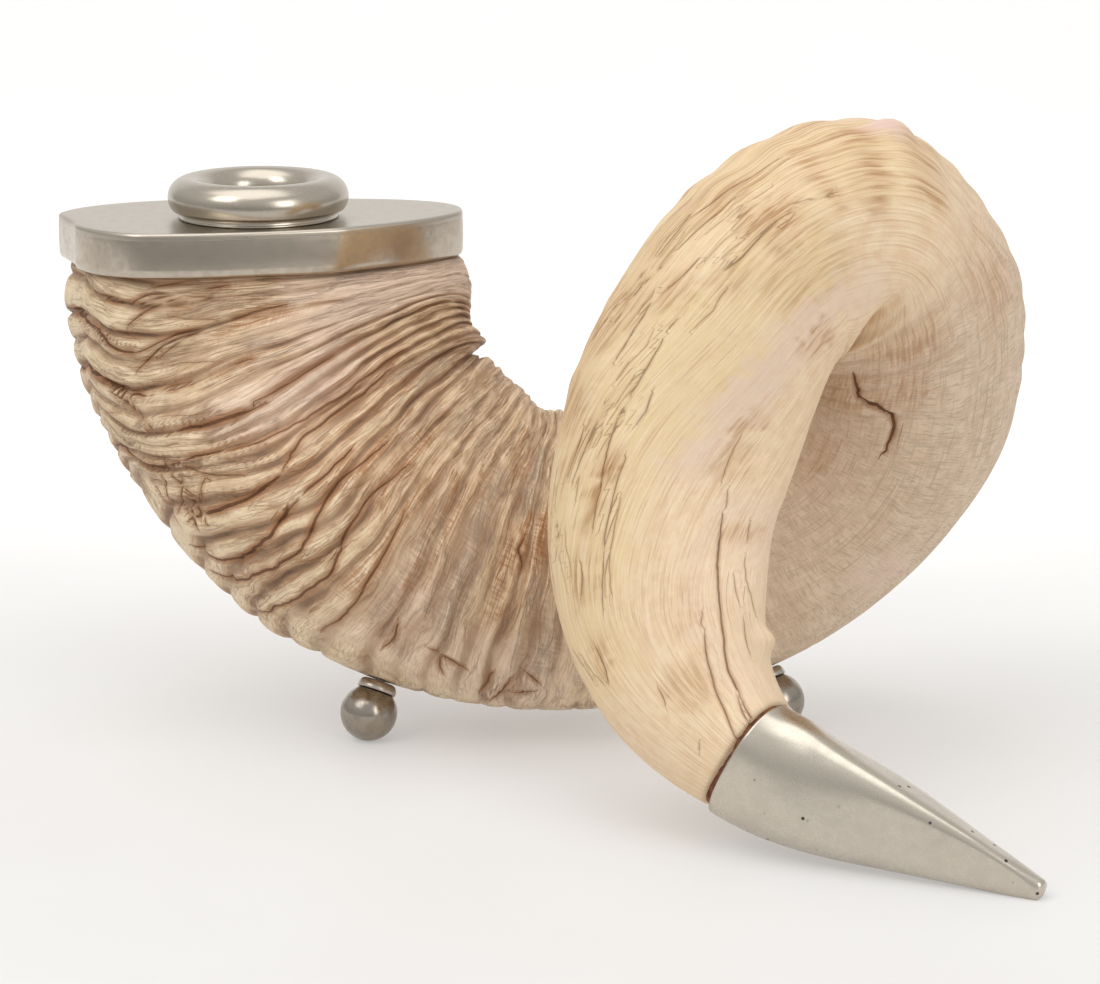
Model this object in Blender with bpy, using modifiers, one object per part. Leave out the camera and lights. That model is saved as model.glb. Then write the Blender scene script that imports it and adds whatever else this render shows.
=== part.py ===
"""Table candlestick made from a curled ram's horn with white-metal mounts.

The horn's wide mouth faces up and is closed by a flat metal cap that carries a
ring-shaped candle holder.  The horn drops from the mouth, runs to the right along
the bottom, makes one tight turn and comes down in front to a conical metal ferrule
whose blunt tip rests on the table.  Two ball feet are studded to the underside.

Lengths are in millimetres here and turned into metres by MM.
X is the long direction, Y points to the back, Z is up and the table is Z = 0.
"""
import math

import bmesh
import bpy
import numpy as np
from mathutils import Matrix, Vector

MM = 0.001
GAP = 0.3                      # clearance left between parts that touch

# ---- where the whole object sits, so that its box is centred on the origin
SHIFT_X = 0.55
SHIFT_Y = -0.43

# ---- horn: x, y, z of the middle, full width, full thickness, corner strength
# the width runs from the inside of the curl to the outside
HORN = (
    (-80.2, 71.7, 140.8, 112.6, 60.6, 0.08),
    (-80.2, 71.5, 130, 112.6, 61, 0.08),
    (-79, 70, 118, 112, 62, 0.08),
    (-74, 64, 99, 111, 66, 0.07),
    (-58, 52, 75, 102, 69, 0.07),
    (-32, 47, 56.5, 95, 67, 0.07),
    (0, 47, 45, 86, 63, 0.07),
    (38, 50, 45, 78, 59, 0.06),
    (71, 51, 57, 72, 56, 0.06),
    (93, 45, 78, 65, 54, 0.06),
    (103, 33, 104, 65, 53, 0.04),
    (98, 19, 130, 65, 53, 0.02),
    (84, 6, 146, 66, 52, 0.01),
    (64, -7, 143, 64, 50, 0.01),
    (46, -18, 120, 64, 48, 0.03),
    (33, -28, 86, 61, 44, 0.05),
    (35, -38, 53, 56, 41, 0.05),
    (56, -60, 24, 32, 29, 0.05),
    (89, -79, 12.6, 21, 19, 0.07),
    (125, -99, 1.9, 5, 5, 0.07),
)
RIM_STATION = 17               # the ferrule starts at this station
MOUTH_TURN = 0.17              # radians, turn of the mouth outline seen from above
MOUTH_SKEW = -0.53             # radians, turns the outline's three blunt corners
MOUTH_SQUARE = 0.033           # flattens the sides between them
MOUTH_FADE = (35.0, 70.0)      # both fade out over this stretch of the horn
STRAIGHT = 14.0                # the horn runs straight down this far below its mouth
TURN_IN = 62.0                 # after it, the width swings round to the curl
SMOOTHING = 20.0               # how softly the width follows the curl
PINCH = 0.9                    # the inside never reaches past this share of the bend radius
HORN_RINGS = 78
RING_POINTS = 32
HORN_IN_FERRULE = 40.0
RIDGE_HEIGHT = 0.9
RIDGE_PITCH = 19.0
RIDGE_FROM = 20.0
RIDGE_TO = 96.0
WALL_MOUTH = 5.0
WALL_BODY = 9.5
CAVITY_LENGTH = 286.0
CAVITY_RINGS = 27
PLUG_RINGS = 4                 # the plug fills the cavity down to this ring

# ---- cap over the mouth
CAP_HALF_WIDTH = 57.9
CAP_HALF_DEPTH = 31.9
CAP_CORNER = 0.08
CAP_POINTS = 64
PLATE_TOP = 142.6
PLATE_THICK = 1.5
BAND_BOTTOM = 129.9
BAND_WALL = 1.2
EDGE_ROUND = 0.25

# ---- candle ring and socket
RING_CENTRE = (-78.5, 68.5)
RING_TUBE = 5.5
RING_MIDDLE = 19.9
SOCKET_OUTER = 12.5
SOCKET_WALL = 1.2
SOCKET_RIM = 148.6
SOCKET_FLOOR = 119.2
SOCKET_FLANGE = 16.0
SOCKET_FLANGE_THICK = 0.8
PLATE_HOLE = 12.9

# ---- ferrule on the narrow end and its bedding
FERRULE_RIM_HALF = (16.8, 15.0)
FERRULE_TIP_HALF = 2.7
FERRULE_BULGE = 1.2
FERRULE_CORNER = 0.07          # the ferrule has a rounded ridge along its top
FERRULE_SKEW = 2.6             # radians, three times the turn of that ridge to the front
FERRULE_WALL = 1.0
BEDDING_THICK = 0.6
BEDDING_DEPTH = 12.0
BEDDING_PROUD = 1.0
NECK_START = 2.2

# ---- ball feet: distance along the horn, side of the underside to search
BALL_RADIUS = 8.0
BALL_FLAT = 2.0
PAD_RADIUS = 6.0
PAD_THICK = 0.8
STUD_RADIUS = 1.25
STUD_IN_BALL = 4.5
STUD_IN_HORN = 5.0
FEET = (
    ("front", 113.5, -1),
    ("rear", 195.0, -1),
)

COLLECTION = "rams_horn_candlestick"


# --------------------------------------------------------------------------- scene
def clear_scene():
    for obj in list(bpy.data.objects):
        bpy.data.objects.remove(obj, do_unlink=True)
    for col in list(bpy.data.collections):
        bpy.data.collections.remove(col)


def new_collection(name):
    col = bpy.data.collections.new(name)
    bpy.context.scene.collection.children.link(col)
    return col


def material(name, colour, roughness, metallic):
    mat = bpy.data.materials.new(name)
    mat.use_nodes = True
    shader = mat.node_tree.nodes["Principled BSDF"]
    shader.inputs["Base Color"].default_value = (*colour, 1.0)
    shader.inputs["Roughness"].default_value = roughness
    shader.inputs["Metallic"].default_value = metallic
    mat.diffuse_color = (*colour, 1.0)
    return mat


def add_object(name, data, mat=None, smooth=True, where=None):
    obj = bpy.data.objects.new(name, data)
    (where or PARTS).objects.link(obj)
    if mat is not None:
        data.materials.append(mat)
    if isinstance(data, bpy.types.Mesh) and smooth:
        for face in data.polygons:
            face.use_smooth = True
    return obj


# --------------------------------------------------------------- curve and sections
def natural_spline(knots, values, at):
    """Smooth curve through all the stations; returns value, slope and bend."""
    knots = np.asarray(knots, float)
    values = np.asarray(values, float)
    at = np.atleast_1d(np.asarray(at, float))
    n = len(knots)
    step = np.diff(knots)
    left = np.zeros((n, n))
    right = np.zeros_like(values)
    left[0, 0] = left[-1, -1] = 1.0
    for i in range(1, n - 1):
        left[i, i - 1] = step[i - 1]
        left[i, i] = 2.0 * (step[i - 1] + step[i])
        left[i, i + 1] = step[i]
        rise = (values[i + 1] - values[i]) / step[i]
        fall = (values[i] - values[i - 1]) / step[i - 1]
        right[i] = 6.0 * (rise - fall)
    bend = np.linalg.solve(left, right)
    k = np.clip(np.searchsorted(knots, at) - 1, 0, n - 2)
    h = step[k][:, None]
    a = (knots[k + 1] - at)[:, None] / h
    b = (at - knots[k])[:, None] / h
    lo, hi = values[k], values[k + 1]
    blo, bhi = bend[k], bend[k + 1]
    value = a * lo + b * hi + ((a ** 3 - a) * blo + (b ** 3 - b) * bhi) * h * h / 6.0
    slope = (hi - lo) / h + ((3 * b * b - 1) * bhi - (3 * a * a - 1) * blo) * h / 6.0
    return value, slope, a * blo + b * bhi


def unit(rows):
    return rows / np.linalg.norm(rows, axis=-1, keepdims=True)


def soft_step(x):
    x = np.clip(x, 0.0, 1.0)
    return x * x * (3.0 - 2.0 * x)


STATIONS = np.array(HORN, float)
KNOTS = np.concatenate([[0.0], np.cumsum(np.linalg.norm(np.diff(STATIONS[:, :3], axis=0), axis=1))])
LENGTH = float(KNOTS[-1])
RIM = float(KNOTS[RIM_STATION])


def build_frames():
    """Middle line with its direction, outward and sideways directions."""
    t = np.linspace(0.0, LENGTH, 500)
    mid, slope, bend = natural_spline(KNOTS, STATIONS[:, :3], t)
    leave = soft_step((t - 0.3 * STRAIGHT) / (1.2 * STRAIGHT))[:, None]
    ahead = unit(unit(slope) * leave + np.array([0.0, 0.0, -1.0]) * (1.0 - leave))
    bend = bend - ahead * (bend * ahead).sum(1, keepdims=True)
    weight = np.exp(-0.5 * ((t[:, None] - t[None]) / SMOOTHING) ** 2)
    outward = -(weight @ bend)
    outward = unit(outward - ahead * (outward * ahead).sum(1, keepdims=True))
    for i in range(1, len(t)):
        if t[i] > RIM - 10.0:
            carried = outward[i - 1] - ahead[i] * (outward[i - 1] @ ahead[i])
            outward[i] = carried / np.linalg.norm(carried)
    start = np.array([-math.cos(MOUTH_TURN), -math.sin(MOUTH_TURN), 0.0])
    mix = soft_step((t - STRAIGHT) / TURN_IN)[:, None]
    outward = outward * mix + start * (1.0 - mix)
    outward = unit(outward - ahead * (outward * ahead).sum(1, keepdims=True))
    radius = (slope ** 2).sum(1) / np.maximum(np.linalg.norm(bend, axis=1), 1e-9)
    return t, mid, outward, np.cross(ahead, outward), ahead, radius


FRAME_T, FRAME_MID, FRAME_OUT, FRAME_SIDE, FRAME_AHEAD, FRAME_RADIUS = build_frames()


def frames_at(t):
    pick = lambda rows: np.stack([np.interp(t, FRAME_T, rows[:, i]) for i in range(3)], -1)
    return pick(FRAME_MID), unit(pick(FRAME_OUT)), unit(pick(FRAME_SIDE)), unit(pick(FRAME_AHEAD))


def blunt_corners(phi, corner, mouth=1.0, tip=0.0):
    """Share of the half widths reached at phi; its mean is close to one."""
    skew = MOUTH_SKEW * mouth + FERRULE_SKEW * tip
    return 1.0 - corner * np.cos(3.0 * phi - skew) - MOUTH_SQUARE * mouth * np.cos(4.0 * phi)


def section(t, phi, half_out, half_side, corner, lift=0.0):
    """Rounded-triangle section: one blunt edge inside the curl, two outside."""
    mouth = 1.0 - soft_step((t - MOUTH_FADE[0]) / MOUTH_FADE[1])
    tip = soft_step((t - RIM + 60.0) / 60.0)
    r = blunt_corners(phi, corner, mouth, tip)
    room = np.clip(PINCH * np.interp(t, FRAME_T, FRAME_RADIUS) / half_out, 0.6, 1.0)
    a = (half_out * r + lift) * np.cos(phi)
    a = np.where(a < 0.0, a * room, a)
    return a, (half_side * r + lift) * np.sin(phi)


def ring_points(t, half_out, half_side, corner, points=RING_POINTS, lift=0.0):
    t = np.atleast_1d(t)
    mid, out, side, _ = frames_at(t)
    phi = np.linspace(0.0, 2.0 * math.pi, points, endpoint=False)[None]
    column = lambda v: np.reshape(v, (-1, 1))
    a, b = section(column(t), phi, column(half_out), column(half_side), column(corner), lift)
    return mid[:, None] + out[:, None] * a[..., None] + side[:, None] * b[..., None]


def ferrule_half(t):
    x = np.clip((np.asarray(t) - RIM) / (LENGTH - RIM), 0.0, 1.0)
    bulge = FERRULE_BULGE * np.sin(math.pi * x)
    return [h + (FERRULE_TIP_HALF - h) * x + bulge for h in FERRULE_RIM_HALF]


def horn_half(t):
    """Half width, half thickness and corner strength of the horn's outside."""
    t = np.atleast_1d(np.asarray(t, float))
    size = natural_spline(KNOTS, STATIONS[:, 3:], t)[0]
    out, side, corner = size[:, 0] / 2.0, size[:, 1] / 2.0, size[:, 2]
    top = STATIONS[0, 3:]
    flush = 1.0 - soft_step((t - STRAIGHT) / 10.0)
    out = out + (top[0] / 2.0 - out) * flush
    side = side + (top[1] / 2.0 - side) * flush
    corner = corner + (top[2] - corner) * flush
    inset = FERRULE_WALL + BEDDING_THICK + 2.0 * GAP
    neck = soft_step((t - (RIM - NECK_START)) / 0.8)
    neck_out, neck_side = ferrule_half(t)
    out = out + (neck_out - inset - out) * neck
    side = side + (neck_side - inset - side) * neck
    return out, side, corner + (FERRULE_CORNER - corner) * neck


def ridge_lift(t, points=RING_POINTS):
    """Low growth folds near the mouth, strongest on the outside of the curl."""
    t = np.atleast_1d(t)
    fade = soft_step((t - RIDGE_FROM) / 12.0) * (1.0 - soft_step((t - RIDGE_TO + 20.0) / 20.0))
    wave = np.sin(2.0 * math.pi * (t - RIDGE_FROM) / RIDGE_PITCH)
    phi = np.linspace(0.0, 2.0 * math.pi, points, endpoint=False)
    side = 0.5 + 0.5 * np.cos(phi)
    return RIDGE_HEIGHT * (fade * wave)[:, None] * side[None]


def wall(t):
    body = WALL_MOUTH + (WALL_BODY - WALL_MOUTH) * soft_step(np.asarray(t) / 60.0)
    closing = np.clip((np.asarray(t) - 0.5 * CAVITY_LENGTH) / (0.5 * CAVITY_LENGTH), 0.0, 1.0)
    return body + 12.0 * closing ** 2


# ------------------------------------------------------------------------- builders
def loft_mesh(name, rings, close_first=True, close_last=True, ring_shaped=False):
    """Skin a row of rings; open ends are closed by one face or joined to each other."""
    mesh = bmesh.new()
    rows = [[mesh.verts.new(Vector(p) * MM) for p in ring] for ring in rings]
    count = len(rows[0])
    pairs = list(zip(rows[:-1], rows[1:]))
    if ring_shaped:
        pairs.append((rows[-1], rows[0]))
    for here, there in pairs:
        for i in range(count):
            j = (i + 1) % count
            mesh.faces.new((here[i], here[j], there[j], there[i]))
    for wanted, row in ((close_first, rows[0]), (close_last, rows[-1])):
        if wanted and not ring_shaped:
            centre = mesh.verts.new(sum((v.co for v in row), Vector()) / count)
            for i in range(count):
                mesh.faces.new((row[i], row[(i + 1) % count], centre))
    bmesh.ops.recalc_face_normals(mesh, faces=mesh.faces)
    data = bpy.data.meshes.new(name)
    mesh.to_mesh(data)
    mesh.free()
    return data


def turned(name, profile, mat, steps=40, where=None, flip=False):
    """Turn a closed outline about Z.  The outline is (radius, height) in mm."""
    mesh = bmesh.new()
    verts = [mesh.verts.new((r * MM, 0.0, z * MM)) for r, z in profile]
    for a, b in zip(verts[:-1], verts[1:]):
        mesh.edges.new((a, b))
    if profile[0][0] > 0.0:
        mesh.edges.new((verts[-1], verts[0]))
    data = bpy.data.meshes.new(name)
    mesh.to_mesh(data)
    mesh.free()
    obj = add_object(name, data, mat, smooth=False, where=where)
    screw = obj.modifiers.new("turn", "SCREW")
    screw.axis = "Z"
    screw.angle = 2.0 * math.pi
    screw.steps = steps
    screw.render_steps = steps
    screw.use_merge_vertices = True
    screw.merge_threshold = 0.00001
    screw.use_smooth_shade = True
    screw.use_normal_calculate = True
    screw.use_normal_flip = flip
    return obj


def cap_outline(inset):
    phi = np.linspace(0.0, 2.0 * math.pi, CAP_POINTS, endpoint=False)
    r = blunt_corners(phi, CAP_CORNER)
    a = (CAP_HALF_WIDTH - inset) * r * np.cos(phi)
    b = (CAP_HALF_DEPTH - inset) * r * np.sin(phi)
    c, s = math.cos(MOUTH_TURN), math.sin(MOUTH_TURN)
    x = HORN[0][0] - c * a - s * b
    y = HORN[0][1] - s * a + c * b
    return np.stack([x, y], 1)


def round_outline(centre, radius, count=40):
    phi = np.linspace(0.0, 2.0 * math.pi, count, endpoint=False)
    return np.stack([centre[0] + radius * np.cos(phi), centre[1] + radius * np.sin(phi)], 1)


def flat_piece(name, outlines, bottom, top, mat):
    """A flat piece with its holes, its edges slightly rounded."""
    curve = bpy.data.curves.new(name, "CURVE")
    curve.dimensions = "2D"
    curve.fill_mode = "BOTH"
    curve.extrude = ((top - bottom) / 2.0 - EDGE_ROUND) * MM
    curve.bevel_depth = EDGE_ROUND * MM
    curve.bevel_resolution = 1
    curve.offset = -EDGE_ROUND * MM
    for outline in outlines:
        spline = curve.splines.new("POLY")
        spline.points.add(len(outline) - 1)
        for point, (x, y) in zip(spline.points, outline):
            point.co = (x * MM, y * MM, 0.0, 1.0)
        spline.use_cyclic_u = True
    scratch = bpy.data.objects.new(name + "_outline", curve)
    PARTS.objects.link(scratch)
    bpy.context.view_layer.update()
    data = bpy.data.meshes.new_from_object(scratch.evaluated_get(bpy.context.evaluated_depsgraph_get()))
    bpy.data.objects.remove(scratch, do_unlink=True)
    mesh = bmesh.new()
    mesh.from_mesh(data)
    bmesh.ops.remove_doubles(mesh, verts=mesh.verts, dist=0.000005)
    bmesh.ops.recalc_face_normals(mesh, faces=mesh.faces)
    mesh.to_mesh(data)
    mesh.free()
    data.materials.clear()
    obj = add_object(name, data, mat, smooth=False)
    obj.location.z = (top + bottom) / 2.0 * MM
    return obj


def rod(name, start, direction, length, radius, mat=None, where=None, sides=24):
    """A straight round rod from start along direction."""
    mesh = bmesh.new()
    bmesh.ops.create_cone(mesh, cap_ends=True, segments=sides, radius1=radius * MM,
                          radius2=radius * MM, depth=length * MM)
    data = bpy.data.meshes.new(name)
    mesh.to_mesh(data)
    mesh.free()
    obj = add_object(name, data, mat, smooth=False, where=where)
    turn = Vector((0, 0, 1)).rotation_difference(Vector(direction)).to_matrix().to_4x4()
    middle = Vector(start) + Vector(direction) * (length / 2.0)
    obj.matrix_world = Matrix.Translation(middle * MM) @ turn
    return obj


def cut(obj, cutter, label):
    cutter.hide_render = True
    cutter.display_type = "WIRE"
    mod = obj.modifiers.new(label, "BOOLEAN")
    mod.operation = "DIFFERENCE"
    mod.solver = "EXACT"
    mod.object = cutter


# ----------------------------------------------------------------------------- feet
def horn_surface(t, phi):
    """Point on the horn's outside and the direction pointing away from it."""
    def point(at, angle):
        out_half, side_half, corner = horn_half(at)
        mid, out, side, _ = frames_at(np.atleast_1d(at))
        a, b = section(at, angle, out_half[0], side_half[0], corner[0])
        return mid[0] + out[0] * a + side[0] * b
    here = point(t, phi)
    along = point(t + 0.5, phi) - point(t - 0.5, phi)
    around = point(t, phi + 0.01) - point(t, phi - 0.01)
    normal = unit(np.cross(around, along)[None])[0]
    if normal @ (here - frames_at(np.atleast_1d(t))[0][0]) < 0.0:
        normal = -normal
    return here, normal


def seat_foot(t, side):
    """Turn round the underside until the ball under it just stands on the table."""
    reach = BALL_RADIUS + PAD_THICK + 2.0 * GAP
    heights = []
    for phi in np.radians(np.arange(-150.0, 151.0, 1.0)):
        here, normal = horn_surface(t, phi)
        centre = here + normal * reach
        heights.append((centre[2] - BALL_RADIUS, phi, centre, normal))
    lowest = min(range(len(heights)), key=lambda i: heights[i][0])
    i = lowest
    step = 1 if horn_surface(t, heights[lowest + 4][1])[0][1] * side > \
        horn_surface(t, heights[lowest - 4][1])[0][1] * side else -1
    while heights[i][0] < 0.0:
        i += step
    low, high = sorted((heights[i][1], heights[i - step][1]))
    rising = horn_surface(t, high)[0][2] > horn_surface(t, low)[0][2]
    for _ in range(40):
        phi = 0.5 * (low + high)
        here, normal = horn_surface(t, phi)
        above = (here + normal * reach)[2] > BALL_RADIUS
        if above == rising:
            high = phi
        else:
            low = phi
    return here + normal * reach, -normal


def ball_profile():
    drop = math.sqrt(BALL_RADIUS ** 2 - BALL_FLAT ** 2)
    first = math.atan2(-drop, BALL_FLAT)
    angles = np.linspace(math.pi / 2.0, first, 17)
    outline = [(BALL_RADIUS * math.cos(a), BALL_RADIUS * math.sin(a)) for a in angles]
    outline[0] = (0.0, BALL_RADIUS)
    return outline + [(0.0, -drop)], drop


def build_foot(label, t, side):
    centre, up = seat_foot(t, side)
    profile, drop = ball_profile()
    ball = turned("foot_ball_" + label, profile, NICKEL_DARK, steps=28)
    ball.location = Vector((centre[0], centre[1], drop)) * MM
    centre = np.array([centre[0], centre[1], drop])
    hole = STUD_RADIUS + GAP
    inside = BALL_RADIUS - STUD_IN_BALL - GAP
    bore = rod("bore_ball_" + label, centre + up * inside, up, STUD_IN_BALL + 3.0, hole, where=CUTTERS)
    cut(ball, bore, "stud hole")
    pad_start = BALL_RADIUS + GAP
    pad = turned("foot_pad_" + label, [(PAD_RADIUS, 0.0), (PAD_RADIUS, PAD_THICK),
                                       (hole, PAD_THICK), (hole, 0.0)], NICKEL, steps=28, flip=True)
    turn = Vector((0, 0, 1)).rotation_difference(Vector(up)).to_matrix().to_4x4()
    pad.matrix_world = Matrix.Translation(Vector(centre + up * pad_start) * MM) @ turn
    surface = pad_start + PAD_THICK + GAP
    seat = rod("bore_horn_" + label, centre + up * (surface - 3.0), up,
               3.0 + STUD_IN_HORN + GAP, hole, where=CUTTERS)
    stud_length = STUD_IN_BALL + (surface - BALL_RADIUS) + STUD_IN_HORN
    rod("foot_stud_" + label, centre + up * (BALL_RADIUS - STUD_IN_BALL), up, stud_length,
        STUD_RADIUS, STEEL, sides=20)
    return seat


# ---------------------------------------------------------------------------- build
clear_scene()
PARTS = new_collection(COLLECTION)
CUTTERS = new_collection("cutters")
HORN_KERATIN = material("horn_keratin", (0.62, 0.50, 0.36), 0.55, 0.0)
NICKEL = material("nickel_satin", (0.56, 0.53, 0.48), 0.30, 1.0)
NICKEL_BRIGHT = material("nickel_polished", (0.64, 0.61, 0.56), 0.14, 1.0)
NICKEL_DARK = material("nickel_dark", (0.34, 0.32, 0.29), 0.28, 1.0)
WOOD = material("plug_wood", (0.42, 0.27, 0.14), 0.7, 0.0)
BEDDING = material("bedding_brown", (0.30, 0.12, 0.05), 0.8, 0.0)
STEEL = material("stud_steel", (0.45, 0.45, 0.46), 0.35, 1.0)


def build_horn():
    end = RIM + HORN_IN_FERRULE
    neck = [RIM - NECK_START, RIM - NECK_START + 0.8]
    body = np.linspace(0.0, RIM - NECK_START - 5.0, HORN_RINGS)
    inside = np.linspace(RIM + 3.0, end, 7)
    t = np.concatenate([body, neck, inside])
    out, side, corner = horn_half(t)
    outer = ring_points(t, out, side, corner, lift=ridge_lift(t))
    t_in = np.linspace(0.0, CAVITY_LENGTH, CAVITY_RINGS)
    out, side, corner = horn_half(t_in)
    inner = ring_points(t_in, out - wall(t_in), side - wall(t_in), corner)
    rings = list(inner[::-1]) + list(outer)
    return add_object("horn", loft_mesh("horn", rings), HORN_KERATIN)


def build_plug():
    t = np.linspace(0.0, CAVITY_LENGTH, CAVITY_RINGS)[:PLUG_RINGS]
    out, side, corner = horn_half(t)
    inset = wall(t) + GAP + 0.1
    rings = ring_points(t, out - inset, side - inset, corner)
    plug = add_object("mouth_plug", loft_mesh("mouth_plug", rings), WOOD, smooth=False)
    depth = HORN[0][2] - (SOCKET_FLOOR - SOCKET_WALL - GAP)
    start = (RING_CENTRE[0], RING_CENTRE[1], HORN[0][2] + 2.0)
    bore = rod("bore_plug", start, (0, 0, -1), depth + 2.0, SOCKET_OUTER + GAP, where=CUTTERS, sides=40)
    cut(plug, bore, "socket bore")
    return plug


def build_cap():
    plate_bottom = PLATE_TOP - PLATE_THICK
    hole = round_outline(RING_CENTRE, PLATE_HOLE)
    flat_piece("cap_plate", [cap_outline(0.0), hole], plate_bottom, PLATE_TOP, NICKEL)
    flat_piece("cap_band", [cap_outline(0.0), cap_outline(BAND_WALL)], BAND_BOTTOM,
               plate_bottom - GAP, NICKEL)


def build_candle_holder():
    middle = PLATE_TOP + GAP + RING_TUBE
    bpy.ops.mesh.primitive_torus_add(major_segments=56, minor_segments=20,
                                     major_radius=RING_MIDDLE * MM, minor_radius=RING_TUBE * MM)
    ring = bpy.context.object
    ring.name = ring.data.name = "candle_ring"
    for col in list(ring.users_collection):
        col.objects.unlink(ring)
    PARTS.objects.link(ring)
    ring.data.materials.append(NICKEL_BRIGHT)
    for face in ring.data.polygons:
        face.use_smooth = True
    ring.location = Vector((*RING_CENTRE, middle)) * MM
    inner = SOCKET_OUTER - SOCKET_WALL
    flange = PLATE_TOP + GAP
    profile = [
        (0.0, SOCKET_FLOOR), (inner, SOCKET_FLOOR), (inner, SOCKET_RIM),
        (SOCKET_OUTER, SOCKET_RIM), (SOCKET_OUTER, flange + SOCKET_FLANGE_THICK),
        (SOCKET_FLANGE, flange + SOCKET_FLANGE_THICK), (SOCKET_FLANGE, flange),
        (SOCKET_OUTER, flange), (SOCKET_OUTER, SOCKET_FLOOR - SOCKET_WALL),
        (0.0, SOCKET_FLOOR - SOCKET_WALL),
    ]
    cup = turned("candle_socket", profile, NICKEL, flip=True)
    cup.location = Vector((*RING_CENTRE, 0.0)) * MM


def build_ferrule():
    t_out = np.linspace(RIM, LENGTH, 20)
    outer = ring_points(t_out, *ferrule_half(t_out), FERRULE_CORNER, points=28)
    t_in = np.linspace(RIM, RIM + HORN_IN_FERRULE + 1.0, 10)
    out, side = ferrule_half(t_in)
    inner = ring_points(t_in, out - FERRULE_WALL, side - FERRULE_WALL, FERRULE_CORNER, points=28)
    rings = list(inner[::-1]) + list(outer)
    ferrule = add_object("tip_cap", loft_mesh("tip_cap", rings), NICKEL)
    mesh = bmesh.new()
    bmesh.ops.create_cube(mesh, size=0.06)
    data = bpy.data.meshes.new("table_cut")
    mesh.to_mesh(data)
    mesh.free()
    block = add_object("table_cut", data, smooth=False, where=CUTTERS)
    block.location = (HORN[-1][0] * MM, HORN[-1][1] * MM, -0.03)
    cut(ferrule, block, "flat under the tip")

    t = np.linspace(RIM - BEDDING_PROUD, RIM + BEDDING_DEPTH, 8)
    out, side = ferrule_half(t)
    edge = FERRULE_WALL + GAP
    outer = ring_points(t, out - edge, side - edge, FERRULE_CORNER, points=28)
    edge = edge + BEDDING_THICK
    inner = ring_points(t, out - edge, side - edge, FERRULE_CORNER, points=28)
    rings = list(inner[::-1]) + list(outer)
    add_object("tip_adhesive", loft_mesh("tip_adhesive", rings, ring_shaped=True), BEDDING)


horn = build_horn()
build_plug()
build_cap()
build_candle_holder()
build_ferrule()
for foot_label, foot_at, foot_side in FEET:
    cut(horn, build_foot(foot_label, foot_at, foot_side), "stud hole " + foot_label)

for obj in list(PARTS.objects) + list(CUTTERS.objects):
    obj.location.x += SHIFT_X * MM
    obj.location.y += SHIFT_Y * MM
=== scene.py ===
"""Looks of the ram's horn candlestick: wrinkled horn, nickel mounts, studio.

Lengths are in millimetres until a mesh is made, then metres.  The horn, the ferrule
and the cap follow the same curve and sections as the CAD part, with finer detail.
"""

import math

import bmesh
import bpy
import numpy as np
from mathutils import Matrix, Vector


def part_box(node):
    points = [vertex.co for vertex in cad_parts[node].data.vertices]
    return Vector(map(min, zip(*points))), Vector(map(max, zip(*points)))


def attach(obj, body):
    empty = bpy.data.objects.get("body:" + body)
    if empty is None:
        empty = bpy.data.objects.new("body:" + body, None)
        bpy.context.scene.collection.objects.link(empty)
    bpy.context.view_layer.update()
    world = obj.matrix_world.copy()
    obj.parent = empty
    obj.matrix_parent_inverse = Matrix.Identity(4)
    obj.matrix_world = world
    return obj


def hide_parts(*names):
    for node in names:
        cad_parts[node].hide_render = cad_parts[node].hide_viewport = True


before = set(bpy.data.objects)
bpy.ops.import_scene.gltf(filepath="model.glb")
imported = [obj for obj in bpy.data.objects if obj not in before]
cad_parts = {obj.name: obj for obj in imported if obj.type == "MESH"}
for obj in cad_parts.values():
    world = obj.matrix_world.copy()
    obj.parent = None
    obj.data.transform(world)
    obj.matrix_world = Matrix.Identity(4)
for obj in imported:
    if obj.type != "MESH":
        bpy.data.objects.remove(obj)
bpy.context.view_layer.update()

MM = 0.001
SHIFT = np.array([0.55, -0.43, 0.0])
GAP = 0.3

# ---- the part's own stations: x, y, z of the middle, full width, full thickness, corner
HORN = (
    (-80.2, 71.7, 140.8, 112.6, 60.6, 0.08),
    (-80.2, 71.5, 130, 112.6, 61, 0.08),
    (-79, 70, 118, 112, 62, 0.08),
    (-74, 64, 99, 111, 66, 0.07),
    (-58, 52, 75, 102, 69, 0.07),
    (-32, 47, 56.5, 95, 67, 0.07),
    (0, 47, 45, 86, 63, 0.07),
    (38, 50, 45, 78, 59, 0.06),
    (71, 51, 57, 72, 56, 0.06),
    (93, 45, 78, 65, 54, 0.06),
    (103, 33, 104, 65, 53, 0.04),
    (98, 19, 130, 65, 53, 0.02),
    (84, 6, 146, 66, 52, 0.01),
    (64, -7, 143, 64, 50, 0.01),
    (46, -18, 120, 64, 48, 0.03),
    (33, -28, 86, 61, 44, 0.05),
    (35, -38, 53, 56, 41, 0.05),
    (56, -60, 24, 32, 29, 0.05),
    (89, -79, 12.6, 21, 19, 0.07),
    (125, -99, 1.9, 5, 5, 0.07),
)
RIM_STATION = 17
MOUTH_TURN = 0.17
MOUTH_SKEW = -0.53
MOUTH_SQUARE = 0.033
MOUTH_FADE = (35.0, 70.0)
STRAIGHT = 14.0
TURN_IN = 62.0
SMOOTHING = 20.0
PINCH = 0.9
WALL_MOUTH = 5.0
WALL_BODY = 9.5
CAVITY_LENGTH = 286.0
HORN_IN_FERRULE = 40.0
NECK_START = 2.2
CAP_HALF_WIDTH = 57.9
CAP_HALF_DEPTH = 31.9
CAP_CORNER = 0.08
PLATE_TOP = 142.6
PLATE_THICK = 1.5
BAND_BOTTOM = 129.9
BAND_WALL = 1.2
RING_CENTRE = (-78.5, 68.5)
RING_TUBE = 5.5
RING_MIDDLE = 19.9
SOCKET_OUTER = 12.5
SOCKET_WALL = 1.2
SOCKET_RIM = 148.6
SOCKET_FLOOR = 119.2
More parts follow.
